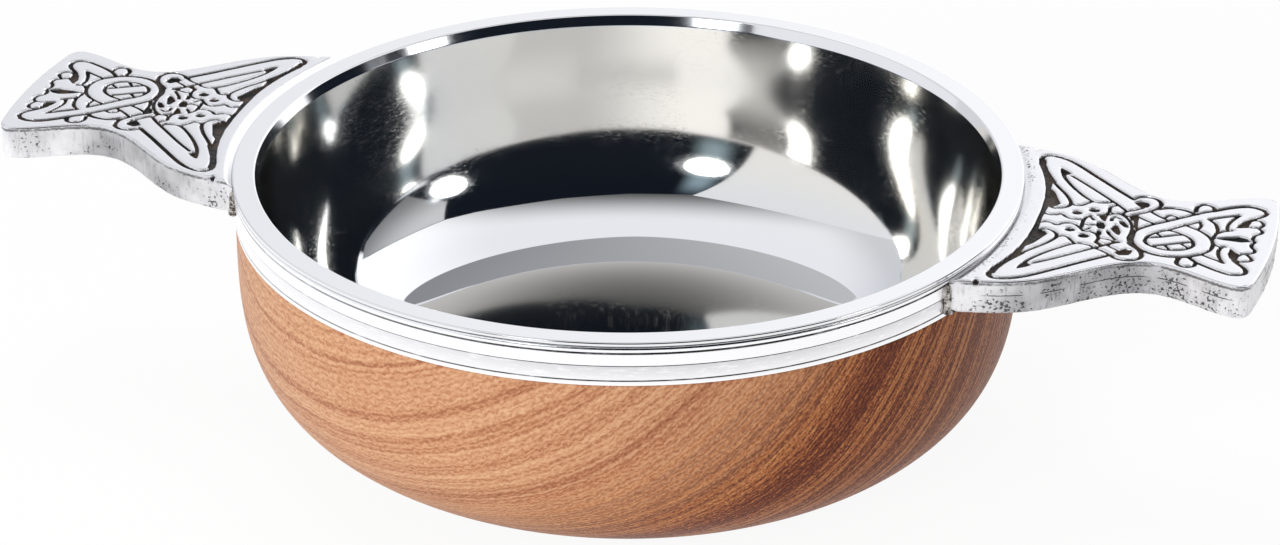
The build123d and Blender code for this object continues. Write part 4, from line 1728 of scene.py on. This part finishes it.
@dataclass
class Studio:
    """Floor, lights, mirrored surroundings and camera."""

    floor_reaches: tuple = (60.0, 120.0, 400.0, 4000.0)
    floor_points: int = 96
    floor_drop: float = 0.02
    floor_shades: tuple[Colour, Colour] = ((0.86, 0.86, 0.86), (0.88, 0.88, 0.88))
    floor_shine: Pair = (0.93, 0.85)
    # painted pool of light on the floor as mirrors see it: where it fades from left to right, and its two
    # brightnesses
    painted_pool_from: Pair = (-90.0, 110.0)
    painted_pool_left: Colour = (1.16, 1.16, 1.17)
    painted_pool_right: Colour = (1.06, 1.06, 1.06)
    ambient: float = 0.34
    white: Colour = (1.0, 1.0, 1.0)
    dark: Colour = (0.008, 0.0115, 0.018)
    focal_pixels: float = 4167.0
    distance: float = 609.31
    elevation: float = 26.553
    aim_across: float = 1.677
    aim_height: float = 23.98
    clip: Pair = (0.05, 20.0)
    sheet: Outline = Outline(
        ((-150.0, 57.0), (180.0, 60.5), (145.0, 59.5), (107.0, 49.0), (95.0, 43.0), (60.0, 24.0)),
        (0.0, 80.0),
    )
    sheet_edge: float = 60.5
    sheet_fade: Pair = (-6.0, 27.0)
    sheet_shades: tuple[Colour, Colour] = ((0.03, 0.03, 0.032), (1.08, 1.08, 1.10))
    left_box: Outline = Outline(((-147.5, 57.0), (-137.0, 11.0)), (-100.0, 20.0))
    left_face: Outline = Outline(((-137.0, 11.0), (-147.5, 57.0), (-80.0, 31.0)), (-110.0, 20.0))
    left_shade: Colour = (0.95, 0.965, 1.0)
    grey_patch: Outline = Outline(
        ((61.0, 24.5), (95.0, 42.7), (106.5, 32.5), (97.0, 16.3), (69.0, 21.0), (61.0, 24.5)),
        (85.0, 27.0), 0.3,
    )
    patch_tilt: float = 12.0
    patch_fade: Pair = (29.0, 48.0)
    patch_shades: tuple[Colour, Colour] = ((0.26, 0.26, 0.265), (0.74, 0.745, 0.75))
    card_middle: Pair = (-0.025, 1.0)
    card_reach: Pair = (0.63, 0.80)
    card_power: float = 1.7
    card_edge: Pair = (1.012, 0.988)
    card_above: Pair = (39.6, 40.4)
    card_fade: Pair = (0.55, -0.6)
    card_shades: tuple[Colour, Colour] = ((0.335, 0.34, 0.355), (0.66, 0.66, 0.665))
    panels: tuple = (
        Panel(-45.0, 85.0, -12.0, 38.0, (0.78, 0.79, 0.82), side_soft=22.0, high_soft=12.0),
        Panel(48.0, 46.0, -12.0, 52.0, (1.40, 1.40, 1.42), side_soft=34.0, high_soft=15.0),
    )
    right_strip: Panel = Panel(20.0, 44.0, -12.0, 26.0, side_soft=1.5, low_soft=0.2, high_soft=0.2)
    streaks: tuple = (
        Panel(-150.5, 5.0, 12.0, 52.0, (0.30, 0.40, 0.47), 4.0, 5.0, 8.0),
        Panel(99.0, 7.0, 11.0, 15.5, (1.3, 1.35, 1.4), 3.0, 0.6, 1.0),
    )
    spots: tuple = (
        Spot(-151.0, 31.0, 7.0, 11.5, 5.0),
        Spot(112.0, 24.0, 6.6, 9.5, 5.0),
        Spot(104.0, 28.0, 1.6, 4.5, 1.2),
    )
    lamps: tuple = (Lamp("key_lamp", -148.0, 26.0, 700.0, 17.0), Lamp("top_lamp", -30.0, 72.0, 900.0, 10.0))

    def sheets(self, sky: Sky) -> Term:
        """Returns the light of the white sheets, dim over the camera and brighter to the right.

        Args:
            sky: the ray's direction.

        Returns:
            The light.
        """
        graph, edge_angle = sky.graph, radians(self.sheet_edge)
        edge = sky.z * cos(edge_angle) + sky.y * sin(edge_angle)
        edge = graph.maths("ARCSINE", edge) * degrees(1.0)
        white = graph.blend(graph.step(edge, *self.sheet_fade), *self.sheet_shades)
        for panel in self.panels:
            white = graph.blend(panel.mask(sky), white, panel.shade)
        return graph.blend(self.left_face.mask(sky), white, self.left_shade)

    def greys(self, sky: Sky, behind: Term) -> Term:
        """Returns the light with the grey patch at the right and the grey card overhead before it.

        The card is flat and its far end is round: its edge is where the shares of its
        reach across and away, each raised to the card's power, add up to one.

        Args:
            sky: the ray's direction.
            behind: the light behind them.

        Returns:
            The light.
        """
        graph = sky.graph
        height = sky.elevation + sky.x * self.patch_tilt
        patch = graph.blend(graph.step(height, *self.patch_fade), *self.patch_shades)
        light = graph.blend(self.grey_patch.mask(sky), behind, patch)
        over, ahead = sky.x / sky.z, sky.y / sky.z
        card = 0.0
        for value, middle, reach in zip((over, ahead), self.card_middle, self.card_reach):
            share = graph.maths("ABSOLUTE", (value - middle) / reach)
            card = graph.maths("POWER", share, self.card_power) + card
        inside = graph.step(card, *self.card_edge) * graph.step(sky.elevation, *self.card_above)
        shade = graph.blend(graph.step(over, *self.card_fade), *self.card_shades)
        return graph.blend(inside, light, shade)

    def world(self) -> None:
        """Makes the surroundings: white to the camera, even to matt surfaces, the studio to mirrors."""
        made = bpy.data.worlds.new("studio")
        made.use_nodes = True
        bpy.context.scene.world = made
        graph = Graph(made.node_tree)
        sky = Sky(graph)
        lit = graph.maths("MAXIMUM", self.sheet.mask(sky), self.left_box.mask(sky))
        lit = graph.maths("MAXIMUM", lit, self.right_strip.mask(sky))
        light = self.greys(sky, graph.blend(lit, self.dark, self.sheets(sky)))
        for panel in self.streaks:
            light = graph.blend(panel.mask(sky) * (1.0 - lit), light, panel.shade)
        for spot in self.spots:
            light = spot.shine(sky, light)
        light = graph.blend(graph.ray("Is Glossy Ray"), (self.ambient,) * 3, light)
        light = graph.blend(graph.ray("Is Camera Ray"), light, self.white)
        background = graph.node("ShaderNodeBackground", {}, {"Color": light, "Strength": 1.0})
        graph.node("ShaderNodeOutputWorld", {}, {"Surface": background})

    def floor_paint(self) -> bpy.types.Material:
        """Returns the floor's paint: matt for the shadow, shining white to the camera, and to mirrors a
        painted pool of light, brighter to the left.

        Returns:
            The material.
        """
        paint = bpy.data.materials.new("pale_floor")
        paint.use_nodes = True
        graph = Graph(paint.node_tree)
        grain = graph.noise(graph.place(), 40.0)
        pale = graph.blend(grain, *self.floor_shades)
        matt = graph.node("ShaderNodeBsdfDiffuse", {}, {"Color": pale})
        in_view, mirrored = graph.ray("Is Camera Ray"), graph.ray("Is Glossy Ray")
        # painted pool of light: to mirrors the floor glows brighter on the left than on the right
        across = graph.step(graph.dot(graph.place(), VIEW_RIGHT), *self.painted_pool_from)
        painted_pool = graph.blend(in_view, graph.blend(across, self.painted_pool_left, self.painted_pool_right), self.white)
        glow = graph.node("ShaderNodeEmission", {}, {"Color": painted_pool, "Strength": 1.0})
        seen = graph.maths("MAXIMUM", in_view * self.floor_shine[0], mirrored * self.floor_shine[1])
        mixed = graph.node("ShaderNodeMixShader", {}, {0: seen, 1: matt, 2: glow})
        graph.node("ShaderNodeOutputMaterial", {}, {"Surface": mixed})
        return paint

    def floor(self) -> None:
        """Makes the floor as a flat disc: rings of points about the Z axis, just under the bowl."""
        rows, columns = len(self.floor_reaches), self.floor_points
        angle = np.linspace(0.0, 2.0 * pi, columns, endpoint=False)
        reach = np.array(self.floor_reaches)[:, None]
        parts = reach * np.cos(angle), reach * np.sin(angle), np.full((rows, columns), -self.floor_drop)
        mesh = bpy.data.meshes.new("floor")
        faces = grid_faces(rows, columns, ring_columns=True)[:, ::-1].tolist() + [list(range(columns))]
        mesh.from_pydata((np.stack(parts, -1).reshape(-1, 3) * MM).tolist(), [], faces)
        mesh.materials.append(self.floor_paint())
        made = added("floor", mesh)

    def camera(self) -> None:
        """Sets the camera at the photograph's place, from its fitted distance, height and turn."""
        data = bpy.data.cameras.new("camera")
        data.sensor_fit, data.sensor_width = "HORIZONTAL", SENSOR_WIDTH
        data.lens = self.focal_pixels * SENSOR_WIDTH / IMAGE_WIDTH
        data.clip_start, data.clip_end = self.clip
        made = added("camera", data)
        turn = Matrix.Rotation(VIEW_TURN, 3, "Z")
        back = turn @ direction(180.0, self.elevation)
        aim = turn @ Vector((self.aim_across, 0.0, self.aim_height))
        made.location = (aim + back * self.distance) * MM
        made.rotation_mode = "QUATERNION"
        made.rotation_quaternion = back.to_track_quat("Z", "Y")
        bpy.context.scene.camera = made

    def build(self) -> None:
        """Sets up the whole studio."""
        self.world()
        self.floor()
        for lamp in self.lamps:
            lamp.hang()
        self.camera()
        bpy.context.scene.view_settings.view_transform = "Standard"
        counts = len(self.panels), len(self.spots), len(self.lamps)
        log.info("studio: floor, %d panels, %d spots, %d lamps", *counts)


def main() -> None:
    """Builds every sub-assembly in order."""
    logging.basicConfig(level=logging.INFO, format="%(name)s %(message)s")
    Studio().build()
    rim = Rim()
    lining = MetalLining(rim)
    lining.build()
    ReededBand(rim).build()
    WoodenBowl(rim, lining).build()
    for lug in (
        CastLug(rim, Side.RIGHT, -0.9, carving_shift=(0.1, -0.05), carving_share=0.935),
        CastLug(rim, Side.LEFT, 0.45, carving_shift=(-0.1, -0.15), carving_share=0.945),
    ):
        lug.build()
        SolderSeam(rim, lug).build()
    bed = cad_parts["adhesive_bed"]
    bed.data.materials.clear()
    bed.data.materials.append(CuredAdhesive().material())
    log.info("adhesive_bed: dressed")


if __name__ == "__main__":
    main()
